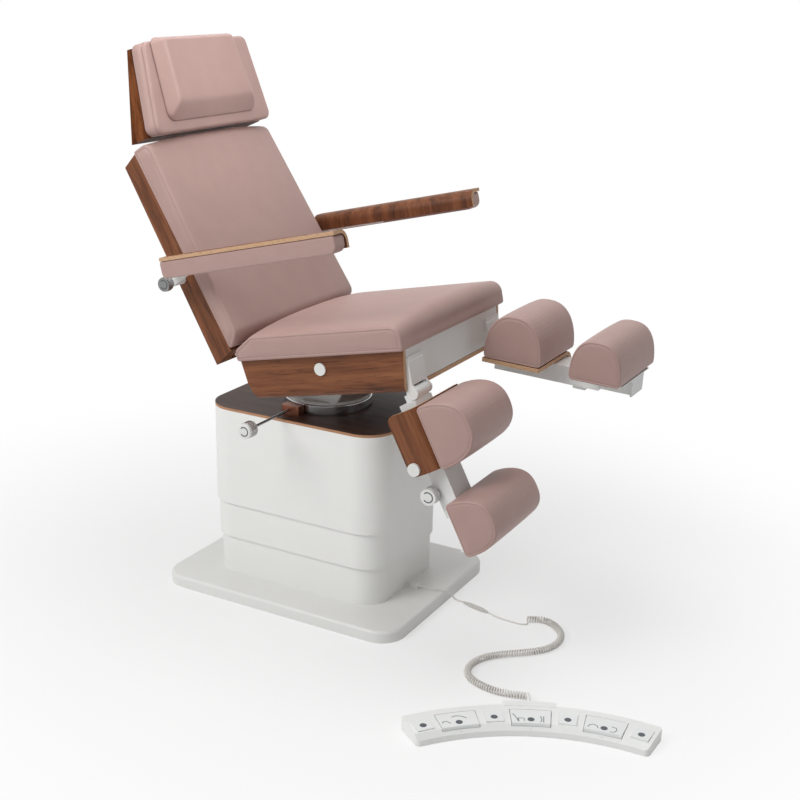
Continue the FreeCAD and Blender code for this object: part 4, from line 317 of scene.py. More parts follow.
@dataclass(frozen=True)
class Walnut:
    """Oiled walnut veneer on birch plywood.

    Attributes:
        name: The material's name.
        frame: The panel's frame of reference.
        grain: The way of its grain.
        edges: Local directions that the plywood's cut edges face.
        outer: The distance from the chair's middle, in millimetres, past which an edge shows.
        inner: The distance from the chair's middle, in millimetres, within which an edge shows.
        gloss: How strongly the veneer reflects.
    """

    name: str
    frame: TiltedFrame
    grain: Grain
    edges: tuple[Point, ...] = ()
    outer: float = 0
    inner: float = 0
    gloss: float = 0.28
    dark: Colour = srgb(60, 33, 20)
    middle: Colour = srgb(112, 65, 38)
    light: Colour = srgb(142, 90, 58)
    pore: Colour = srgb(52, 30, 19)
    ply: Colour = srgb(206, 168, 134)
    ply_line: Colour = srgb(158, 116, 86)

    def material(self) -> Material:
        """Builds the material."""
        shader = Shader(self.name)
        broad, fine, figure = [
            shader.noise(shader.place(self.frame.degrees, tuple(v * times for v in self.grain.value)),
                         1.0, detail, rough)
            for times, detail, rough in ((1, 5, 0.62), (6, 3, 0.6), (0.35, 2, 0.5))]
        value = broad * 0.6 + fine * 0.22 + figure * 0.18
        wood = shader.ramp(value, ((0.36, self.dark), (0.48, self.middle), (0.64, self.light)))
        pores = fine.below(0.37)
        colour = shader.mix(pores * 0.35, wood, self.pore)
        place = shader.place(self.frame.degrees)
        across = shader.axis(place, 1).size()
        masks = [shader.facing(self.frame.direction(*edge)).above(0.8) for edge in self.edges]
        if self.outer:
            masks.append(across.above(self.outer * MM))
        if self.inner:
            masks.append(across.below(self.inner * MM))
        rough = fine * 0.12 + 0.4
        if masks:
            mask = reduce(Value.most, masks)
            layers = shader.noise(shader.place(0, (60, 60, 900)), 1.0, 2)
            ply = shader.mix(layers.below(0.45) * 0.5, self.ply, self.ply_line)
            colour = shader.mix(mask, colour, ply)
            rough = rough + mask * 0.12
        return shader.finish(colour, rough, relief=fine, depth=0.00006, gloss=self.gloss)


@dataclass(frozen=True)
class Leatherette:
    """Soft dusty-rose coated fabric with a fine grain."""

    name: str
    colour: Colour = srgb(181, 150, 143)
    deep: Colour = srgb(170, 138, 131)
    grain: float = 1100
    rough: float = 0.46
    depth: float = 0.00007

    def material(self) -> Material:
        """Builds the material."""
        shader = Shader(self.name)
        place = shader.place()
        mottle = shader.noise(place, 16, 3)
        fine = shader.noise(place, self.grain * 0.6, 2)
        colour = shader.mix(mottle.between(0.25, 0.75) * 0.3 + fine * 0.3 + 0.25, self.deep, self.colour)
        cells = shader.node("ShaderNodeTexVoronoi", {"Vector": place, "Scale": self.grain})
        pebbles = Value(shader.tree, cells.outputs["Distance"])
        relief = pebbles * 0.7 + fine * 0.3
        return shader.finish(colour, fine * 0.1 + self.rough, relief=relief, depth=self.depth, sheen=0.05)


@dataclass(frozen=True)
class PowderCoat:
    """Sprayed and baked paint with a faint orange peel."""

    name: str
    colour: Colour
    rough: float = 0.42
    peel: float = 700

    def material(self) -> Material:
        """Builds the material."""
        shader = Shader(self.name)
        place = shader.place()
        peel = shader.noise(place, self.peel, 2)
        wear = shader.noise(place, 14, 4)
        colour = shader.mix(wear.between(0.3, 0.75) * 0.3, self.colour, darker(self.colour, 0.97))
        return shader.finish(colour, wear * 0.08 + self.rough, relief=peel, depth=0.00003)


@dataclass(frozen=True)
class Metal:
    """Bare metal, polished or brushed."""

    name: str
    colour: Colour
    rough: float = 0.16
    brush: Point = (1, 1, 1)

    def material(self) -> Material:
        """Builds the material."""
        shader = Shader(self.name)
        lines = shader.noise(shader.place(0, self.brush), 900, 2)
        haze = shader.noise(shader.place(), 30, 3)
        colour = shader.mix(haze, self.colour, darker(self.colour, 0.86))
        return shader.finish(colour, haze * 0.1 + self.rough, 1.0, lines, 0.00001)


@dataclass(frozen=True)
class Plastic:
    """Moulded plastic with a fine spark-eroded texture."""

    name: str
    colour: Colour
    rough: float = 0.4
    texture: float = 1300
    depth: float = 0.00002

    def material(self) -> Material:
        """Builds the material."""
        shader = Shader(self.name)
        place = shader.place()
        fine = shader.noise(place, self.texture, 2)
        tone = shader.noise(place, 22, 3)
        colour = shader.mix(tone * 0.5, self.colour, darker(self.colour, 0.92))
        return shader.finish(colour, fine * 0.08 + self.rough, relief=fine, depth=self.depth)


@dataclass(frozen=True)
class TwoTone:
    """White plastic or paint with bare metal on one side of a limit across the chair.

    Attributes:
        name: The material's name.
        metal_from: The least distance from the chair's middle of the metal part, in millimetres.
        metal_to: The greatest distance from the chair's middle of the metal part, in millimetres.
        metal: The metal's colour.
        plain: The other colour.
        metal_ahead: How far forward the metal part goes, in millimetres.
    """

    name: str
    metal_from: float
    metal_to: float
    metal: Colour = srgb(150, 150, 152)
    plain: Colour = srgb(232, 232, 229)
    metal_ahead: float = 2000

    def material(self) -> Material:
        """Builds the material."""
        shader = Shader(self.name)
        place = shader.place()
        across = shader.axis(place, 1).size()
        mask = across.above(self.metal_from * MM) * across.below(self.metal_to * MM)
        mask = mask * shader.axis(place, 0).below(self.metal_ahead * MM)
        tone = shader.noise(place, 22, 3)
        plain = shader.mix(tone * 0.4, self.plain, darker(self.plain, 0.93))
        colour = shader.mix(mask, plain, self.metal)
        fine = shader.noise(place, 1200, 2)
        return shader.finish(colour, mask * -0.15 + 0.38, mask * 1.0, fine, 0.00002)


@dataclass(frozen=True)
class DarkBoard:
    """The cover's top board: dark laminate over light plywood edges."""

    name: str = "dark_board"
    top: Colour = srgb(82, 58, 48)
    streak: Colour = srgb(58, 40, 33)
    edge: Colour = srgb(186, 138, 104)

    def material(self) -> Material:
        """Builds the material."""
        shader = Shader(self.name)
        grain = shader.noise(shader.place(0, (2.5, 40, 40)), 1.0, 4, 0.6)
        top = shader.ramp(grain, ((0.36, self.streak), (0.6, self.top)))
        level = shader.facing(Vector((0, 0, 1))).size().below(0.5)
        layers = shader.noise(shader.place(0, (30, 30, 800)), 1.0, 2)
        edge = shader.mix(layers.below(0.45) * 0.4, self.edge, darker(self.edge, 0.6))
        return shader.finish(shader.mix(level, top, edge), level * 0.1 + 0.5, relief=grain, depth=0.00004,
                             gloss=0.3)


class Finishes:
    """Every material of the chair, each made once."""

    def __init__(self) -> None:
        """Makes the materials that more than one piece wears."""
        self.leatherette = Leatherette("rose_leatherette").material()
        self.white_paint = PowderCoat("white_paint", srgb(234, 235, 233)).material()
        self.cover_paint = PowderCoat("cover_paint", srgb(243, 243, 240), 0.38).material()
        self.plate_paint = PowderCoat("plate_paint", srgb(236, 236, 233), 0.34).material()
        self.black_steel = PowderCoat("black_steel", srgb(38, 38, 40), 0.5).material()
        self.chrome = Metal("polished_steel", srgb(205, 205, 207), 0.14, (1, 1, 12)).material()
        self.copper = Metal("copper_metal", srgb(150, 98, 78), 0.34, (1, 12, 1)).material()
        self.alloy = Metal("cast_alloy", srgb(150, 150, 152), 0.5).material()
        self.white_plastic = Plastic("white_plastic", srgb(232, 232, 229), 0.3).material()
        self.control_plastic = Plastic("control_plastic", srgb(247, 248, 246), 0.42).material()
        self.key_plastic = Plastic("key_plastic", srgb(245, 247, 246), 0.36).material()
        self.mark = Plastic("dark_mark", srgb(84, 90, 96), 0.45).material()
        self.faint_mark = Plastic("faint_mark", srgb(140, 146, 150), 0.45).material()
        self.sheath = Plastic("cord_sheath", srgb(232, 229, 224), 0.42, 500).material()
        self.connector = Plastic("connector_plastic", srgb(208, 206, 201), 0.4).material()
        self.board = DarkBoard().material()

    def dress(self, nodes: dict[str, Piece]) -> None:
        """Gives each carried-over node its material.

        Args:
            nodes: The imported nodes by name.
        """
        worn = {
            self.plate_paint: ("base_plate",),
            self.cover_paint: ("lower_cover", "middle_cover", "upper_cover"),
            self.board: ("top_board",),
            self.black_steel: ("column_outer", "column_middle", "column_inner"),
            self.alloy: ("lift_motor",),
            self.white_plastic: ("cable_entries", *(f"calf_cap_{side}" for side in SIDES)),
            self.connector: ("inline_connector",),
            self.chrome: ("swivel_ring", "head_rods"),
            self.white_paint: ("turntable", "seat_frame", "leg_brackets", "back_frame",
                               *(f"{part}_{side}" for part in ("armrest_bracket", "leg_arm", "foot_slide")
                                 for side in SIDES)),
            self.copper: ("swivel_lock_block",),
            self.control_plastic: ("control_housing",),
            self.key_plastic: (*(f"rocker_{i}" for i in (1, 2, 3)),
                               *(f"button_{i}" for i in (1, 2, 3, 4))),
            TwoTone("lock_knob_tones", 0, 353).material(): ("swivel_lock_knob",),
            TwoTone("shaft_tones", 0, 291.7, metal_ahead=300).material(): ("hinge_shafts",),
            TwoTone("leg_knob_tones", 0, 295.5, srgb(110, 108, 106)).material():
                tuple(f"leg_knob_{side}" for side in SIDES),
            TwoTone("armrest_knob_tones", 0, 400, srgb(138, 138, 136)).material():
                tuple(f"armrest_knob_{side}" for side in SIDES),
            Walnut("walnut_seat", SEAT, Grain.ALONG, ((1, 0, 0), (-1, 0, 0))).material(): ("seat_shell",),
            Walnut("walnut_back", BACK, Grain.UP).material(): ("back_shell",),
            Walnut("walnut_head", HEAD, Grain.UP, gloss=0.02).material(): ("head_shell",),
        }
        for side in SIDES:
            worn[Walnut(f"walnut_armrest_{side}", ARMREST, Grain.UP, ((1, 0, 0), (-1, 0, 0)),
                        outer=414).material()] = (f"armrest_shell_{side}",)
            worn[Walnut(f"walnut_calf_{side}", LEGS[side], Grain.ALONG, ((1, 0, 0), (-1, 0, 0)),
                        inner=76).material()] = (f"calf_cover_{side}",)
        for material, names in worn.items():
            for name in names:
                coat(nodes[name], material)


# Making pieces


def added(name: str, data: bpy.types.ID) -> Piece:
    """Puts an object with this data in the scene."""
    made = bpy.data.objects.new(name, data)
    bpy.context.scene.collection.objects.link(made)
    return made


def evaluated(piece: Piece) -> bpy.types.Mesh:
    """A piece as a plain mesh, with its modifiers or its curve's shape applied."""
    bpy.context.view_layer.update()
    graph = bpy.context.evaluated_depsgraph_get()
    return bpy.data.meshes.new_from_object(piece.evaluated_get(graph), depsgraph=graph)


def piece_of(name: str, vertices: Iterable[Sequence[float]], faces: Iterable[Sequence[int]],
             material: Material, smooth: bool = True) -> Piece:
    """Makes a mesh piece.

    Args:
        name: The piece's name.
        vertices: Its points in metres.
        faces: Its faces as point numbers.
        material: Its material.
        smooth: Whether its faces are shaded smooth.

    Returns:
        The piece, in the scene.
    """
    mesh = bpy.data.meshes.new(name)
    mesh.from_pydata([tuple(v) for v in vertices], [], [tuple(f) for f in faces])
    mesh.polygons.foreach_set("use_smooth", [smooth] * len(mesh.polygons))
    mesh.materials.append(material)
    mesh.update()
    return added(name, mesh)


def coat(piece: Piece, material: Material) -> None:
    """Gives a piece one material."""
    piece.data.materials.clear()
    piece.data.materials.append(material)


def travelled(line: np.ndarray) -> np.ndarray:
    """How far along a line each of its points is."""
    return np.r_[0, np.cumsum(np.linalg.norm(np.diff(line, axis=0), axis=1))]


def outward(piece: Piece) -> Piece:
    """Merges doubled points and turns the faces outward."""
    shape = bmesh.new()
    shape.from_mesh(piece.data)
    bmesh.ops.remove_doubles(shape, verts=shape.verts, dist=1e-6)
    bmesh.ops.recalc_face_normals(shape, faces=shape.faces)
    shape.to_mesh(piece.data)
    shape.free()
    return piece


def rounded_profile(corners: Sequence[Corner], count: int) -> np.ndarray:
    """A closed outline through corners, each with its radius, as evenly spaced points.

    Args:
        corners: Places and radii in millimetres.
        count: How many points to return.

    Returns:
        The points, one row each.
    """
    dense: list[np.ndarray] = []
    number = len(corners)
    for index, (x, z, radius) in enumerate(corners):
        corner = np.array((x, z), float)
        back = np.array(corners[index - 1][:2], float) - corner
        ahead = np.array(corners[(index + 1) % number][:2], float) - corner
        back /= np.linalg.norm(back)
        ahead /= np.linalg.norm(ahead)
        half = math.acos(np.clip(back @ ahead, -1, 1)) / 2
        centre_way = (back + ahead) / np.linalg.norm(back + ahead)
        centre = corner + centre_way * radius / math.sin(half)
        start = corner + back * radius / math.tan(half) - centre
        end = corner + ahead * radius / math.tan(half) - centre
        first, last = math.atan2(start[1], start[0]), math.atan2(end[1], end[0])
        turn = (last - first + math.pi) % (2 * math.pi) - math.pi
        for step in range(17):
            angle = first + turn * step / 16
            dense.append(centre + radius * np.array((math.cos(angle), math.sin(angle))))
    line = np.array(dense + dense[:1])
    lengths = travelled(line)
    wanted = np.linspace(0, lengths[-1], count, endpoint=False)
    return np.column_stack([np.interp(wanted, lengths, line[:, axis]) for axis in (0, 1)])


def outline_normals(outline: np.ndarray) -> np.ndarray:
    """The outward normals of a closed outline of points."""
    tangent = np.roll(outline, -1, axis=0) - np.roll(outline, 1, axis=0)
    tangent /= np.linalg.norm(tangent, axis=1)[:, None]
    normal = np.column_stack((tangent[:, 1], -tangent[:, 0]))
    centre = outline.mean(axis=0)
    if np.sum((outline - centre) * normal) < 0:
        normal = -normal
    return normal


@dataclass
class Stuffed:
    """One stuffed piece, made of rings of points that run from one closed end to the other.

    Attributes:
        name: The piece's name.
        node: The node that it stands for.
        body: The body that it moves with.
        frame: Its frame of reference.
        fill: How tight the stuffing is; not used.
        around: How many points each ring has.
        closed: How near to an end's middle its last ring comes, as a share.
    """

    name: str
    node: str
    body: str
    frame: TiltedFrame
    fill: float = 0.8
    around: int = 180
    closed: float = 0.995

    def rows(self) -> list[np.ndarray]:
        """The rings of points, in local millimetres."""
        raise NotImplementedError

    def build(self, material: Material) -> Piece:
        """Makes the piece.

        Args:
            material: The cover's material.

        Returns:
            The piece.
        """
        rows = self.rows()
        count = self.around
        vertices = [self.frame.point(*point) for row in rows for point in row]
        faces = []
        for row in range(len(rows) - 1):
            for column in range(count):
                following = (column + 1) % count
                faces.append((row * count + column, row * count + following,
                              (row + 1) * count + following, (row + 1) * count + column))
        faces.append(tuple(range(count)))
        faces.append(tuple((len(rows) - 1) * count + column for column in range(count)))
        piece = outward(piece_of(self.name, vertices, faces, material))
        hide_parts(self.node)
        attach(piece, self.body)
        log.info("%s: %d points", self.name, len(piece.data.vertices))
        return piece


@dataclass(kw_only=True)
class Upholstery(Stuffed):
    """A cover over a side profile, with a sewn panel at each end across the chair, in millimetres.

    Attributes:
        corners: The profile's corners along x and z and their radii.
        low: Where its nearer end is across the chair.
        high: Where its farther end is.
        crown: How far the cover swells in the middle.
        fullness: How near to its ends the swelling stays high.
        swell: The local direction, along x and z, that the cover swells to.
        edge: The radius of the edge beside each end panel.
        belly: How far each end panel swells.
        narrowing: The share of its width lost for each millimetre up.
        along: How many rings stand between the ends.
        seam_depth: How deep the seams sink.
        seam_width: How wide a seam's bottom is, and how far it is from the edge.
        seam_side: How wide its inner side is.
    """

    corners: Sequence[Corner] = ()
    low: float
    high: float
    crown: float
    fullness: float = 2.6
    swell: Pair = (0, 1)
    edge: float = 7
    belly: float = 2.5
    narrowing: float = 0
    along: int = 56
    seam_depth: float = 1.3
    seam_width: float = 1.2
    seam_side: float = 1.4

    def outline(self) -> np.ndarray:
        """The profile as evenly spaced points."""
        return rounded_profile(self.corners, self.around)

    def stations(self) -> list[Pair]:
        """Where the profile is repeated, and how far it is drawn in there."""
        near = sorted((self.low + self.edge * (1 - math.sin(a)), self.edge * (1 - math.cos(a)))
                      for a in [math.pi / 2 * step / 6 for step in range(7)])
        far = [(self.low + self.high - y, inset) for y, inset in reversed(near)]
        span = self.high - self.low - 2 * self.edge
        middle = [(self.low + self.edge + span * step / self.along, 0.0) for step in range(1, self.along)]
        return near + middle + far

    def rows(self) -> list[np.ndarray]:
        """The rings of points from end to end, in local millimetres."""
        outline = self.outline()
        normal = outline_normals(outline)
        swell = np.array(self.swell) / np.linalg.norm(self.swell)
        lifted = np.clip(normal @ swell, 0, 1) ** 0.7
        centre = outline.mean(axis=0)
        half = (self.high - self.low) / 2
        middle = (self.high + self.low) / 2

        def ring(y: float, inset: float, shrink: float = 0.0, out: float = 0.0) -> np.ndarray:
            """One ring, drawn in by an inset and shrunk toward the middle by a share."""
            rise = self.crown * (1 - min(1, abs(y - middle) / half) ** self.fullness)
            points = outline + normal * (lifted * rise)[:, None] - normal * inset
            points = points + (centre - points) * shrink
            across = (y + out) * (1 - self.narrowing * points[:, 1])
            return np.column_stack((points[:, 0], across, points[:, 1]))

        def cap(y: float, sign: int) -> list[np.ndarray]:
            """An end panel's rings, from its seam to its middle."""
            seam = self.edge + self.seam_width
            sunk = -sign * self.seam_depth
            panel = seam + self.seam_width + self.seam_side
            rings = [ring(y, seam, 0, sunk), ring(y, seam + self.seam_width, 0, sunk), ring(y, panel)]
            for share in np.arange(1, 13) / 12:
                bulge = self.belly * (1 - (1 - share) ** 2)
                rings.append(ring(y, panel, share * self.closed, sign * bulge))
            return rings

        sides = [ring(y, inset) for y, inset in self.stations()]
        return list(reversed(cap(self.low, -1))) + sides + cap(self.high, 1)


@dataclass(frozen=True)
class LegPad:
    """The sizes of one kind of leg pad, in millimetres.

    Attributes:
        part: Its name and, but for the calf's, its body's name.
        start: Where it starts down the leg.
        length: Its length down the leg.
        base: Its base above the leg's line.
        height: Its height.
        outer: How far its outer end is from the chair's middle.
        power: How square its shoulders are.
    """

    part: str
    start: float
    length: float
    base: float
    height: float
    outer: float
    power: float


@dataclass(kw_only=True)
class HalfRound(Upholstery):
    """A half-round leg pad on a flat base.

    Attributes:
        pad: Its sizes.
        shoulder: How far above its base its round part starts, in millimetres.
        foot: The radius of its two corners on the base.
    """

    pad: LegPad
    shoulder: float = 22
    foot: float = 13

    def outline(self) -> np.ndarray:
        """The half-round profile as evenly spaced points."""
        pad = self.pad
        half = pad.length / 2
        corners = []
        for step in range(25):
            angle = math.pi * step / 24
            across = math.copysign(abs(math.cos(angle)) ** (2 / pad.power), math.cos(angle)) * half
            up = abs(math.sin(angle)) ** (2 / pad.power) * pad.height
            if up > self.shoulder:
                corners.append((pad.start + half + across, pad.base + up, 0.01))
        corners += [(end, pad.base, self.foot) for end in (pad.start + 1, pad.start + pad.length - 1)]
        return rounded_profile(corners, self.around)


@dataclass(kw_only=True)
class Panel(Stuffed):
    """A pad with a crowned front face, made of layers from its rear to its front.

    Attributes:
        corners: The outline's corners across and up, and their radii, in millimetres.
        layers: How far drawn in and how far forward each ring of its edge is.
        crown: How far the front face swells.
        fullness: How near to its edge the swelling stays high.
        steps: How many rings its front face has.
    """

    corners: Sequence[Corner]
    layers: Sequence[Pair]
    crown: float = 4
    fullness: float = 2.2
    steps: int = 20
    around: int = 240

    @cached_property
    def outline(self) -> np.ndarray:
        """The outline as evenly spaced points."""
        return rounded_profile(self.corners, self.around)

    def ring(self, inset: float, forward: float, shrink: float) -> np.ndarray:
        """One flat ring, drawn in by an inset and shrunk toward the middle by a share."""
        points = self.outline - outline_normals(self.outline) * inset
        points = points + (self.outline.mean(axis=0) - points) * shrink
        return np.column_stack((np.full(len(points), forward), points))

    def front(self, share: float) -> np.ndarray:
        """The front face's ring at a share of the way to its middle."""
        inset, forward = self.layers[-1]
        rise = self.crown * (1 - (1 - share) ** self.fullness)
        return self.ring(inset, forward + rise, self.closed * share)

    def rows(self) -> list[np.ndarray]:
        """The rings of points from the rear's middle to the front's middle."""
        rear = [self.ring(*self.layers[0], self.closed * step / 6) for step in range(6, 0, -1)]
        edge = [self.ring(*layer, 0) for layer in self.layers]
        return rear + edge + [self.front(step / self.steps) for step in range(1, self.steps + 1)]


@dataclass(kw_only=True)
class Pillow(Panel):
    """A head pillow whose sides slope down to a thin sewn edge.

    Attributes:
        rise: How far its front face stands above its edge.
        slopes: How wide its left, right, lower and upper slopes are.
        brim: The share of the way to its middle in which its edge turns upright.
        lean: The share of its rise lost toward its top.
        dish: How far its front face sinks in its middle.
        dished: How far from its middle plane it is dished.
        softness: How softly the slopes run into the front face.
    """

    rise: float = 36
    slopes: tuple[float, float, float, float] = (27, 34, 46, 10)
    brim: float = 0.08
    lean: float = 0.14
    dish: float = 8
    dished: float = 165
    softness: float = 0.1
    steps: int = 56

    def front(self, share: float) -> np.ndarray:
        """The front face's ring at a share of the way to its middle."""
        ring = self.ring(*self.layers[-1], self.closed * share)
        across, up = ring[:, 1], ring[:, 2]
        (near, low, _), (far, _, _), (far_top, high, _), (near_top, _, _) = self.corners
        climb = (up - low) / (high - low)
        reaches = (across - near - (near_top - near) * climb, far + (far_top - far) * climb - across,
                   up - low, high - up)
        parts = [reach / wide for reach, wide in zip(reaches, self.slopes)]
        parts += [np.ones(len(ring)), np.full(len(ring), share / self.brim)]
        full = -self.softness * np.log(sum(np.exp(-part / self.softness) for part in parts))
        sunk = self.dish * np.clip(1 - (across / self.dished) ** 2, 0, 1)
        ring[:, 0] += np.clip(full, 0, 1) * (self.rise * (1 - self.lean * climb) - sunk)
        return ring


@dataclass
class Cushions:
    """All the upholstery, its profiles' corners with their radii, in millimetres.

    Attributes:
        seat: The seat's side profile.
        back: The back's side profile.
        head: The headrest's outline.
        head_layers: How far drawn in and how far forward its edge is, from its rear past its groove.
        head_round: Its front edge's radius and where the edge starts forward.
        pillow: The pillow's outline.
        pillow_layers: The pillow's edge likewise.
        armrest: An armrest pad's side profile.
        half_width: Half the seat's width.
        back_half_width: Half the back's width at its foot.
        back_taper: The share of the back's width lost for each millimetre up.
        armrest_span: How far an armrest pad's ends are from the chair's middle.
        leg_inner: How far a leg pad's inner end is from the chair's middle.
        leg_pads: The calf and foot pads' sizes.
    """

    seat: Sequence[Corner] = (
        (-262, 38.1, 8), (278, 38.1, 7), (279, 107, 34), (-200, 107, 34), (-262, 70, 14))
    back: Sequence[Corner] = ((68.5, 15, 7), (113.6, 51, 26), (117, 638, 28), (52, 638, 7))
    head: Sequence[Corner] = ((-275.5, 0.5, 24), (275.5, 0.5, 24), (240, 257, 24), (-240, 257, 24))
    head_layers: Sequence[Pair] = (
        (5, 0.5), (1.5, 2), (0, 5), (0, 20), (0, 38), (2.2, 38.9), (2.2, 39.7), (0, 40.6))
    head_round: Pair = (9, 41)
    pillow: Sequence[Corner] = ((-222, 31, 30), (198, 31, 30), (160, 264, 22), (-216, 264, 22))
    pillow_layers: Sequence[Pair] = ((4, 50.8), (1, 51.6), (0, 52.8), (0, 55.8))
    armrest: Sequence[Corner] = ((27, 18, 14), (603, 19, 22), (603, 66, 6), (27, 66, 6))
    half_width: float = 313
    back_half_width: float = 318
    back_taper: float = 30 / 616 / 318
    armrest_span: Pair = (367, 415)
    leg_inner: float = 75
    leg_pads: tuple[LegPad, ...] = (LegPad("calf", 34, 178, 19.4, 134, 325, 2.4),
                                    LegPad("foot", 294, 152, 8.4, 120, 360, 2.6))

    def wide(self) -> list[Stuffed]:
        """The seat's and the back's cushions."""
        seat = Upholstery("seat_upholstery", "seat_cushion", "seat", SEAT, corners=self.seat,
                          low=-self.half_width, high=self.half_width, crown=19)
        back = Upholstery("back_upholstery", "back_cushion", "back", BACK, corners=self.back,
                          low=-self.back_half_width, high=self.back_half_width, crown=18, swell=(1, 0),
                          narrowing=self.back_taper)
        return [seat, back]

    def head_pads(self) -> list[Stuffed]:
        """The headrest's cushion, with a sewn groove round its edge, and the pillow on it."""
        radius, forward = self.head_round
        rounding = [(radius * (1 - math.cos(a)), forward + radius * math.sin(a))
                    for a in np.linspace(0.2, 1.5, 6)]
        return [Panel("head_upholstery", "head_cushion", "headrest", HEAD, corners=self.head,
                      layers=[*self.head_layers, *rounding]),
                Pillow("pillow_upholstery", "head_pillow", "headrest", HEAD, fill=0.9,
                       corners=self.pillow, layers=self.pillow_layers)]

    def armrests(self) -> list[Stuffed]:
        """The pads under the armrests' tops."""
        made: list[Stuffed] = []
        for side, sign in SIDES.items():
            low, high = sorted(sign * reach for reach in self.armrest_span)
            made.append(Upholstery(
                f"armrest_upholstery_{side}", f"armrest_pad_{side}", f"armrest_{side}", ARMREST,
                corners=self.armrest, low=low, high=high, crown=0, edge=5, along=6, belly=0.4,
                seam_depth=0))
        return made

    def legs(self) -> list[Stuffed]:
        """The calf and foot pads."""
        made: list[Stuffed] = []
        for side, sign in SIDES.items():
            for pad in self.leg_pads:
                low, high = sorted((sign * self.leg_inner, sign * pad.outer))
                body = f"leg_{side}" if pad.part == "calf" else f"foot_{side}"
                made.append(HalfRound(
                    f"{pad.part}_upholstery_{side}", f"{pad.part}_pad_{side}", body, LEGS[side],
                    pad=pad, low=low, high=high, crown=3, edge=5))
        return made

    def build(self, finishes: Finishes) -> None:
        """Makes every cushion."""
        for cushion in self.wide() + self.head_pads() + self.armrests() + self.legs():
            cushion.build(finishes.leatherette)


# Cords


@dataclass
class Cords:
    """The foot control's cord: two plain leads, the coupling between them, and the curls.

    Attributes:
        plate_side: The plain lead from the plate to the coupling, in millimetres.
        control_side: The plain lead from the coupling to the curls.
        curly: The curls' line over the floor.
        radius: The cord's radius.
        curl_radius: The curls' mean radius.
        loosening: The share that a curl's control points stand out past its mean radius.
        curls: How many curls there are.
        points_per_curl: How many control points each curl has.
        tail: How far the cord runs on past the end of the curls.
        plate_share: The plate side's length as a share of the line through its control points; not used.
        control_share: The control side's length likewise; not used.
    """

    plate_side: Sequence[Point] = (
        (334.4, -6, 45), (350, -6, 44.6), (371, -3, 43.6), (392, 4, 43.2), (410, 14, 40),
        (420, 22.5, 29), (426, 29, 16), (434, 34.5, 6.8), (447, 35.6, 6.5), (459, 32.8, 6.5),
    )
    control_side: Sequence[Point] = (
        (548.6, 11.9, 6.5), (562, 8.8, 5), (580, 5.2, 2.6), (603, 2.8, 2.3), (628, 1.6, 2.3),
        (649, 1.2, 2.3), (664, 3.6, 2.3), (673, 8.6, 2.3), (675.2, 15.8, 2.3),
    )
    curly: Sequence[Pair] = (
        (670, 26), (692, 41.5), (718, 46), (745, 37), (769, 18.5), (788, -5), (799, -33), (801, -63),
        (794, -93), (780, -120), (757, -145), (731, -167), (703, -190), (677, -215), (656, -244),
        (645, -275), (643, -306), (651, -334), (669, -357), (695, -372), (724, -380.5), (754, -384.5),
        (784, -382.5), (813.5, -374.7), (843.9, -364.8),
    )
    radius: float = 2.3
    curl_radius: float = 8.2
    loosening: float = 0.012
    curls: float = 99.5
    points_per_curl: int = 12
    tail: float = 4.6
    plate_share: float = 0.97
    control_share: float = 0.98

    def line(self, name: str, route: Iterable[Sequence[float]], bevel: float = 0) -> Piece:
        """A smooth curve whose control points are the route.

        Args:
            name: The curve's name.
            route: Its points in millimetres.
            bevel: Its radius in millimetres.

        Returns:
            The curve object.
        """
        points = [Vector(point) * MM for point in route]
        data = bpy.data.curves.new(name, "CURVE")
        data.dimensions = "3D"
        data.resolution_u = 6
        data.bevel_depth = bevel * MM
        data.bevel_resolution = 3
        data.use_fill_caps = True
        spline = data.splines.new("NURBS")
        spline.points.add(len(points) - 1)
        for place, point in zip(spline.points, points):
            place.co = (*point, 1)
        spline.order_u = 3
        spline.use_endpoint_u = True
        return added(name, data)

    def curl_points(self) -> list[Vector]:
        """The curls' points, wound about the route's own smooth line, in millimetres."""
        height = self.curl_radius + self.radius
        guide = self.line("curl_guide", [(x, y, height) for x, y in self.curly])
        guide.data.resolution_u = 24
        mesh = evaluated(guide)
        line = np.array([v.co for v in mesh.vertices]) / MM
        bpy.data.objects.remove(guide)
        bpy.data.meshes.remove(mesh)
        lengths = travelled(line)
        count = int(self.curls * self.points_per_curl)
        radius = self.curl_radius * (1 + self.loosening)
        points = []

        def along(distance: float) -> Vector:
            """The place at a distance along the route."""
            return Vector([np.interp(distance, lengths, line[:, axis]) for axis in range(3)])

        for step in range(count + 1):
            distance = lengths[-1] * step / count
            near = min(max(distance, 1), lengths[-1] - 1)
            ahead = (along(near + 1) - along(near - 1)).normalized()
            side = ahead.cross(Vector((0, 0, 1)))
            angle = -math.pi / 2 - 2 * math.pi * self.curls * step / count
            points.append(along(distance) + side * radius * math.cos(angle)
                          + Vector((0, 0, radius * math.sin(angle))))
        last_way = (points[-1] - points[-2]).normalized()
        last_way.z = 0
        return points + [points[-1] + last_way * self.tail]

    def declare(self, piece: Piece, nodes: Sequence[str],
                finish: Material) -> None:
        """Gives a curve its material, hides the nodes that it stands for and makes it move with the base.

        Args:
            piece: The curve.
            nodes: The nodes that it stands for.
            finish: Its material.
        """
        piece.data.materials.append(finish)
        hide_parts(*nodes)
        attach(piece, "base")

    def build(self, finishes: Finishes) -> None:
        """Makes the plate's side of the cord, and its plain run and curls on the control's side."""
        lead = self.line("plate_lead", self.plate_side, self.radius)
        self.declare(lead, ["lead_plate_side"], finishes.sheath)
        route = [Vector(point) for point in self.control_side] + self.curl_points()
        curls = self.line("control_cord", route, self.radius)
        curls.data.resolution_u = 2
        self.declare(curls, ["lead_control_side", "curly_cord"], finishes.sheath)
        log.info("cords made")


# Small fittings


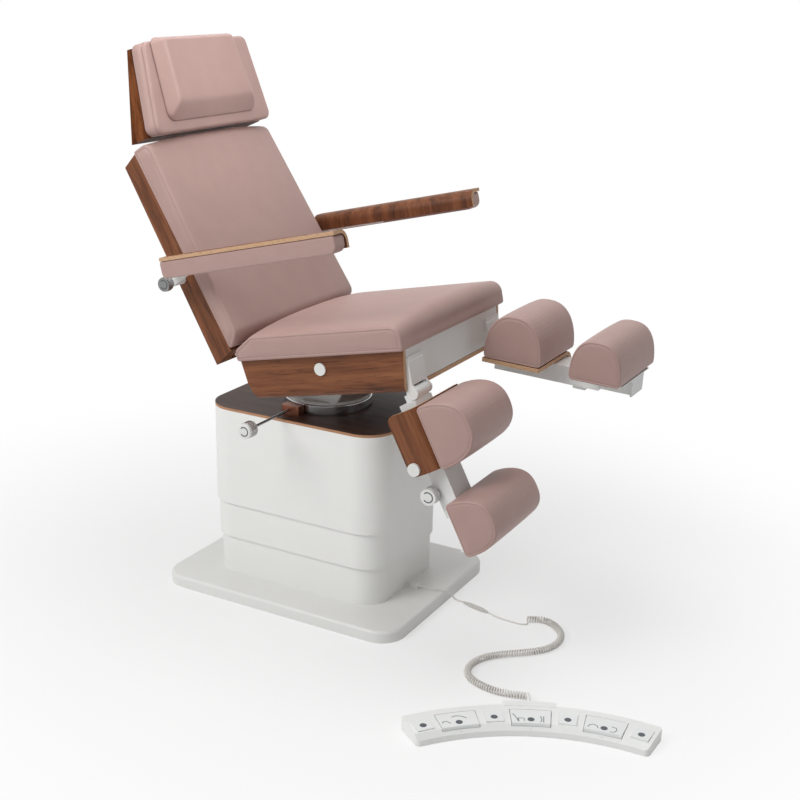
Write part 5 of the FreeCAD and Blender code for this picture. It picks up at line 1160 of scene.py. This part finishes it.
class Tree:
    """A Geometry Nodes tree that stands one shape on every point, turned to the point's own way."""

    def __init__(self, name: str) -> None:
        """Starts a tree with a mesh in, a mesh out and no other inputs."""
        self.tree = bpy.data.node_groups.new(name, "GeometryNodeTree")
        face = self.tree.interface
        face.new_socket("Geometry", in_out="INPUT", socket_type="NodeSocketGeometry")
        face.new_socket("Geometry", in_out="OUTPUT", socket_type="NodeSocketGeometry")
        self.inlet = self.tree.nodes.new("NodeGroupInput")
        self.outlet = self.tree.nodes.new("NodeGroupOutput")

    def size(self, name: str, kind: str = "NodeSocketFloat") -> str:
        """Adds a named input and returns its identifier."""
        return self.tree.interface.new_socket(name, in_out="INPUT", socket_type=kind).identifier

    def given(self, name: str) -> Socket:
        """A named input as a link."""
        return self.inlet.outputs[name]

    def add(self, kind: str, settings: dict | None = None, **inputs: object) -> bpy.types.Node:
        """Adds a node; an input's name has its spaces written as underscores."""
        named = {key.replace("_", " "): value for key, value in inputs.items()}
        return add_node(self.tree, kind, settings or {}, named)

    def stand(self, shape: Socket, material: Material, **inputs: object) -> None:
        """Stands a shape on every point and ends the tree in plain geometry.

        Args:
            shape: The shape.
            material: Its material.
            inputs: Further inputs of the node that places it.
        """
        way = self.add("GeometryNodeInputNamedAttribute", {"data_type": "FLOAT_VECTOR"}, Name="way")
        turn = self.add("FunctionNodeAlignRotationToVector", {"axis": "Z"},
                        Vector=way.outputs["Attribute"])
        placed = self.add("GeometryNodeInstanceOnPoints", Points=self.given("Geometry"), Instance=shape,
                          Rotation=turn.outputs["Rotation"], **inputs)
        real = self.add("GeometryNodeRealizeInstances", Geometry=placed.outputs["Instances"])
        worn = self.add("GeometryNodeSetMaterial", Geometry=real.outputs["Geometry"], Material=material)
        self.tree.links.new(worn.outputs["Geometry"], self.outlet.inputs["Geometry"])


@dataclass(frozen=True)
class Knob:
    """The grip ribs and the ring mark of one kind of knob, in millimetres.

    Attributes:
        radius: How far its ribs are from its axis.
        length: How long its ribs are.
        count: How many ribs it has.
        grip: How far its ribs' middle is from the chair's middle.
        face: How far its face is from the chair's middle.
        mark: Its mark's mean radius.
        band: Its mark's width.
    """

    radius: float
    length: float
    count: int
    grip: float
    face: float
    mark: float
    band: float


@dataclass
class Fittings:
    """Screws, ribs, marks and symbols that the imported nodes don't carry, in millimetres and degrees.

    Attributes:
        finishes: The chair's finishes.
        control_middle: The middle of the foot control's ring.
        control_heading: Which way the ring's middle field lies.
        leg_knob: The leg clamps' knobs.
        leg_clamp: Their axis down the leg and above its line.
        armrest_knob: The armrest clamps' knobs.
        lock_knob: The swivel lock's knob.
        lock_axis: Its place forward and its height.
        screw_ring: The radius and the height of the ring of swivel screws.
        screw_turns: Where on the ring they are.
        screw_size: A screw head's radius and height.
        rib_radius: A grip rib's radius.
        mark_turn: Where a ring mark starts and ends.
        raised: How far marks stand off their face.
        stroke: How wide a symbol's lines are.
        dot: A dot's radius and height.
        buttons: The buttons' turns from the middle field, and their dots' radius and height.
        rockers: The rockers' turns, and their dots' radius and height.
        symbols: The symbols' lines on each rocker, as radius and turn.
    """

    finishes: Finishes
    control_middle: Pair = (1185, -1055)
    control_heading: float = 116.3
    leg_knob: Knob = Knob(22.4, 15, 30, 302, 320.9, 14, 3.2)
    leg_clamp: Pair = (269, -54)
    armrest_knob: Knob = Knob(19, 15, 26, 375, 385.2, 12, 3)
    lock_knob: Knob = Knob(21.4, 26, 30, 372, 393.9, 12.5, 3.2)
    lock_axis: Pair = (-27, 586)
    screw_ring: Pair = (118, 599.4)
    screw_turns: Sequence[float] = (-45, -5, 35, 75, 115, 155, 195, 235, 275)
    screw_size: Pair = (6, 3.6)
    rib_radius: float = 1.7
    mark_turn: Pair = (40, 320)
    raised: float = 0.5
    stroke: float = 2.4
    dot: Pair = (8.8, 0.6)
    buttons: tuple[tuple[float, ...], float, float] = ((-25.05, -8.35, 8.35, 25.05), 633, 33.9)
    rockers: tuple[tuple[float, ...], float, float] = ((-16.7, 0, 16.7), 623, 32.9)
    symbols: Sequence[Sequence[Sequence[Pair]]] = (
        (((618, -15.4), (628, -15.0), (632, -14.2), (628, -13.4), (618, -13.0)),
         ((636, -18.2), (634, -19.3), (624, -19.6), (614, -19.2), (612, -18.2))),
        (((648, 4.0), (636, 3.5), (622, 3.1), (614, 3.0)), ((628, 3.0), (628, 1.6), (616, 1.5)),
         ((628, 2.9), (614, 2.8)), ((640, -2.2), (622, -2.5), (612, -2.2)), ((640, -2.9), (612, -2.9))),
        (((628, 20.6), (634, 20.0), (631, 19.3), (622, 18.7)),
         ((648, 17.8), (652, 16.9), (648, 15.6), (638, 14.6))),
    )

    def repeated(self, name: str, places: Sequence[tuple[Point, Vector]], tree: Tree,
                 sizes: dict[str, float], body: str) -> None:
        """Puts a tree's shape at places and makes it a plain mesh.

        Args:
            name: The piece's name.
            places: The places in millimetres, each with the way it faces.
            tree: The tree.
            sizes: The tree's inputs by identifier.
            body: The body that the piece moves with.
        """
        mesh = bpy.data.meshes.new(name)
        mesh.from_pydata([Vector(place) * MM for place, _ in places], [], [])
        way = mesh.attributes.new("way", "FLOAT_VECTOR", "POINT")
        for item, (_, facing) in zip(way.data, places):
            item.vector = facing
        piece = added(name, mesh)
        modifier = piece.modifiers.new("repeat", "NODES")
        modifier.node_group = tree.tree
        for identifier, value in sizes.items():
            modifier[identifier] = value
        made = evaluated(piece)
        made.name = name
        piece.modifiers.clear()
        piece.data = made
        coat(piece, self.finishes.chrome)
        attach(piece, body)
        log.info("%s: %d places", name, len(places))

    def screws(self) -> None:
        """Domed screw heads with six-sided sockets round the swivel."""
        tree = Tree("screw_heads")
        radius, height = tree.size("Radius"), tree.size("Height")
        flat = {"fill_type": "NGON"}
        head = tree.add("GeometryNodeMeshCone", flat, Vertices=24, Side_Segments=1, Radius_Top=0.8,
                        Radius_Bottom=1.0, Depth=1.0)
        well = tree.add("GeometryNodeMeshCone", flat, Vertices=6, Side_Segments=1, Radius_Top=0.42,
                        Radius_Bottom=0.42, Depth=0.7)
        sunk = tree.add("GeometryNodeTransform", Geometry=well.outputs["Mesh"], Translation=(0, 0, 0.5))
        cut = tree.add("GeometryNodeMeshBoolean", {"operation": "DIFFERENCE"})
        tree.tree.links.new(head.outputs["Mesh"], cut.inputs[0])
        tree.tree.links.new(sunk.outputs["Geometry"], cut.inputs[1])
        scale = tree.add("ShaderNodeCombineXYZ", X=tree.given("Radius"), Y=tree.given("Radius"),
                         Z=tree.given("Height"))
        tree.stand(cut.outputs["Mesh"], self.finishes.chrome, Scale=scale.outputs["Vector"])
        reach, level = self.screw_ring
        places = [((reach * math.cos(a), reach * math.sin(a), level), UP)
                  for a in np.radians(self.screw_turns)]
        wide, tall = self.screw_size
        self.repeated("swivel_screws", places, tree, {radius: wide * MM, height: tall * MM}, "lift")

    def bands(self, name: str, lines: Sequence[Sequence[Sequence[Vector]]], body: str,
              finish: Material) -> None:
        """Makes one piece of raised bands.

        Args:
            name: The piece's name.
            lines: Each band's four-cornered sections, in millimetres.
            body: The body that it moves with.
            finish: Its material.
        """
        vertices: list[Vector] = []
        faces: list[Sequence[int]] = []
        for line in lines:
            first = len(vertices)
            vertices += [corner * MM for section in line for corner in section]
            for start in range(first, len(vertices) - 4, 4):
                for corner in range(4):
                    a, b = start + corner, start + (corner + 1) % 4
                    faces.append((a, b, b + 4, a + 4))
            faces += [range(first, first + 4), range(len(vertices) - 4, len(vertices))]
        self.flat_mark(name, vertices, faces, body, finish)

    def flat_mark(self, name: str, vertices: Sequence[Vector], faces: Sequence[Sequence[int]], body: str,
                  finish: Material) -> None:
        """Makes a flat-shaded mark from points in metres and faces."""
        piece = outward(piece_of(name, vertices, faces, finish, False))
        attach(piece, body)

    def section(self, middle: Vector, side: Vector, way: Vector, wide: float) -> list[Vector]:
        """One section of a band: a low box across its middle line."""
        corners = ((-wide / 2, 0), (-wide / 2, self.raised), (wide / 2, self.raised), (wide / 2, 0))
        return [middle + side * reach + way * rise for reach, rise in corners]

    def knobs(self) -> None:
        """Grip ribs round every knob and a ring mark on its face."""
        tree = Tree("grip_ribs")
        radius, length = tree.size("Radius"), tree.size("Length")
        count = tree.size("Count", "NodeSocketInt")
        ring = tree.add("GeometryNodeMeshCircle", Vertices=tree.given("Count"),
                        Radius=tree.given("Radius"))
        rib = tree.add("GeometryNodeMeshCylinder", Vertices=8, Radius=self.rib_radius * MM,
                       Depth=tree.given("Length"))
        ribs = tree.add("GeometryNodeInstanceOnPoints", Points=ring.outputs["Mesh"],
                        Instance=rib.outputs["Mesh"])
        grip = tree.add("GeometryNodeRealizeInstances", Geometry=ribs.outputs["Instances"])
        tree.stand(grip.outputs["Geometry"], self.finishes.chrome)
        first, last = self.mark_turn

        def dress(name: str, end: str, knob: Knob, x: float, z: float, sign: int) -> None:
            """Dresses one knob, whose axis is at x and z and which looks to one side."""
            way = Vector((0, sign, 0))
            sizes = {radius: knob.radius * MM, length: knob.length * MM, count: knob.count}
            self.repeated(f"{name}_ribs{end}", [((x, sign * knob.grip, z), way)], tree, sizes, name + end)
            side = way.cross(UP)
            turns = np.radians(np.linspace(first, last, 41))
            rays = [side * math.cos(a) + UP * math.sin(a) for a in turns]
            face = Vector((x, sign * knob.face, z))
            sections = [self.section(face + ray * knob.mark, ray, way, knob.band) for ray in rays]
            self.bands(f"{name}_mark{end}", [sections], name + end, self.finishes.mark)

        for side, sign in SIDES.items():
            along, above = self.leg_clamp
            leg = LEGS[side].point(along, 0, above) / MM
            dress("leg_knob", f"_{side}", self.leg_knob, leg.x, leg.z, sign)
            arm = ARMREST.point(0, 0, 0) / MM
            dress("armrest_knob", f"_{side}", self.armrest_knob, arm.x, arm.z, sign)
        dress("lock_knob", "", self.lock_knob, *self.lock_axis, -1)

    def on_control(self, radius: float, degrees: float, height: float) -> Vector:
        """A place on the foot control, in millimetres.

        Args:
            radius: Its distance from the ring's middle.
            degrees: Its turn from the control's middle field.
            height: Its height above the floor.

        Returns:
            The place.
        """
        angle = math.radians(self.control_heading + degrees)
        return Vector((self.control_middle[0] + radius * math.cos(angle),
                       self.control_middle[1] + radius * math.sin(angle), height))

    def dots(self, key: str, fields: tuple[tuple[float, ...], float, float]) -> None:
        """Round marks on one kind of key, from the keys' turns and the marks' radius and height."""
        count = 28
        wide, tall = self.dot
        circle = [Vector((wide * MM * math.cos(a), wide * MM * math.sin(a), 0))
                  for a in np.linspace(0, 2 * math.pi, count, endpoint=False)]
        turns, radius, height = fields
        for index, degrees in enumerate(turns, 1):
            middle = self.on_control(radius, degrees, height) * MM
            vertices = [middle + vertex for vertex in circle]
            vertices += [vertex + UP * tall * MM for vertex in vertices]
            faces: list[Sequence[int]] = [(i, (i + 1) % count, (i + 1) % count + count, i + count)
                                          for i in range(count)]
            faces += [range(count), range(count, 2 * count)]
            self.flat_mark(f"{key}_dot_{index}", vertices, faces, f"{key}_{index}", self.finishes.mark)

    def symbol_marks(self) -> None:
        """Plain pictograms of a seat, a leg rest and a back on the rockers."""
        height = self.rockers[2]
        for index, lines in enumerate(self.symbols, 1):
            bands = []
            for line in lines:
                points = [self.on_control(radius, degrees, height) for radius, degrees in line]
                sections = []
                for step, point in enumerate(points):
                    ahead = points[min(step + 1, len(points) - 1)] - points[max(step - 1, 0)]
                    side = Vector((-ahead.y, ahead.x, 0)).normalized()
                    sections.append(self.section(point, side, UP, self.stroke))
                bands.append(sections)
            self.bands(f"rocker_symbol_{index}", bands, f"rocker_{index}", self.finishes.faint_mark)

    def build(self) -> None:
        """Makes every small fitting."""
        self.screws()
        self.knobs()
        self.dots("button", self.buttons)
        self.dots("rocker", self.rockers)
        self.symbol_marks()


# Camera, floor and light


@dataclass(frozen=True)
class Lamp:
    """One soft square lamp.

    Attributes:
        name: Its name.
        place: Where it is, in metres.
        target: What it points at.
        size: How long its side is.
        power: Its power in watts.
        spread: How wide its beam is, in degrees.
    """

    name: str
    place: Point
    target: Point
    size: float
    power: float
    spread: float = 180

    def build(self) -> None:
        """Adds the lamp."""
        data = bpy.data.lights.new(self.name, "AREA")
        data.size = self.size
        data.energy = self.power
        data.spread = math.radians(self.spread)
        turn = (Vector(self.target) - Vector(self.place)).to_track_quat("-Z", "Y")
        added(self.name, data).matrix_world = Matrix.Translation(self.place) @ turn.to_matrix().to_4x4()


@dataclass(frozen=True)
class Studio:
    """The photograph's camera, a pale floor and soft light.

    Attributes:
        place: The camera's place in metres.
        heading: How far it is turned from the chair's left, in degrees.
        dip: How far it looks down, in degrees.
        roll: How far it is rolled, in degrees.
        focal: Its focal length in pixels of a frame.
        frame: The width of that frame in pixels.
        sensor: The sensor's width in millimetres.
        ambient: The world's light on the object.
        floor_glow: How white the floor looks beside the chair.
        floor_span: Half the floor's side in metres.
        fade: Where the floor starts to turn plain white, and where it is.
        lamps: The lamps.
    """

    place: Point = (1.98575, -3.16826, 1.81270)
    heading: float = 28.78
    dip: float = 18.31
    roll: float = 1.11
    focal: float = 1311.22
    frame: float = 800
    sensor: float = 36
    ambient: float = 0.3
    floor_glow: float = 0.5
    floor_span: float = 30
    fade: Pair = (0.5, 2.0)
    lamps: tuple[Lamp, ...] = (
        Lamp("key", (-1.3, -3.2, 3.4), (0, 0, 0.7), 2.2, 96),
        Lamp("top", (0.1, 0.4, 4.4), (0, 0, 0.8), 2.8, 67),
        Lamp("head", (0.9, -0.4, 2.3), (-0.42, -0.02, 1.58), 0.5, 1.1, 44),
    )

    def camera(self) -> None:
        """Places the camera."""
        data = bpy.data.cameras.new("camera")
        data.sensor_width = self.sensor
        data.sensor_fit = "HORIZONTAL"
        data.lens = self.focal / self.frame * self.sensor
        camera = added("camera", data)
        matrix = Matrix.Translation(self.place)
        for degrees, axis in ((self.heading, "Z"), (90 - self.dip, "X"), (self.roll, "Z")):
            matrix @= Matrix.Rotation(math.radians(degrees), 4, axis)
        camera.matrix_world = matrix
        bpy.context.scene.camera = camera

    def seen(self, tree: NodeTree) -> Value:
        """1 for what the camera, a reflection or a clear body shows."""
        path = tree.nodes.new("ShaderNodeLightPath")
        kinds = ("Camera", "Glossy", "Transmission")
        return reduce(Value.most, [Value(tree, path.outputs[f"Is {kind} Ray"]) for kind in kinds])

    def floor(self) -> None:
        """Lays a pale floor that is plain white away from the chair."""
        span = self.floor_span
        corners = [(-span, -span, 0), (span, -span, 0), (span, span, 0), (-span, span, 0)]
        shader = Shader("floor_pale")
        place = shader.place()
        dust = shader.noise(place, 3, 2)
        material = shader.finish(shader.mix(dust * 0.3, (0.9, 0.9, 0.9), (0.87, 0.87, 0.87)), 0.9)
        reach = shader.node("ShaderNodeVectorMath", {0: place}, operation="LENGTH").outputs["Value"]
        away = Value(shader.tree, reach).between(*self.fade)
        glow = shader.node("ShaderNodeEmission", {"Color": (1.0, 1.0, 1.0), "Strength": 1.0})
        share = self.seen(shader.tree) * (away * (1 - self.floor_glow) + self.floor_glow)
        blend = shader.node("ShaderNodeMixShader", {
            0: share, 1: shader.surface.outputs["BSDF"], 2: glow.outputs["Emission"]})
        shader.tree.links.new(blend.outputs["Shader"], shader.output.inputs["Surface"])
        piece_of("floor", corners, [(0, 1, 2, 3)], material, False)

    def world(self) -> None:
        """Sets a white background that lights the chair only softly."""
        world = bpy.data.worlds.new("studio")
        world.use_nodes = True
        tree = world.node_tree
        tree.nodes.clear()
        strength = self.seen(tree) * (1 - self.ambient) + self.ambient
        background = add_node(tree, "ShaderNodeBackground", {},
                              {"Color": (1, 1, 1), "Strength": strength})
        add_node(tree, "ShaderNodeOutputWorld", {}, {"Surface": background.outputs["Background"]})
        bpy.context.scene.world = world

    def build(self) -> None:
        """Sets up everything around the chair."""
        self.camera()
        self.floor()
        self.world()
        for lamp in self.lamps:
            lamp.build()
        bpy.context.scene.view_settings.view_transform = "Standard"


def main() -> None:
    """Builds the chair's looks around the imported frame."""
    logging.basicConfig(level=logging.INFO, format="%(message)s")
    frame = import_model()
    studio = Studio()
    studio.build()
    finishes = Finishes()
    Cords().build(finishes)
    finishes.dress(frame["nodes"])
    Cushions().build(finishes)
    Fittings(finishes).build()


if __name__ == "__main__":
    main()
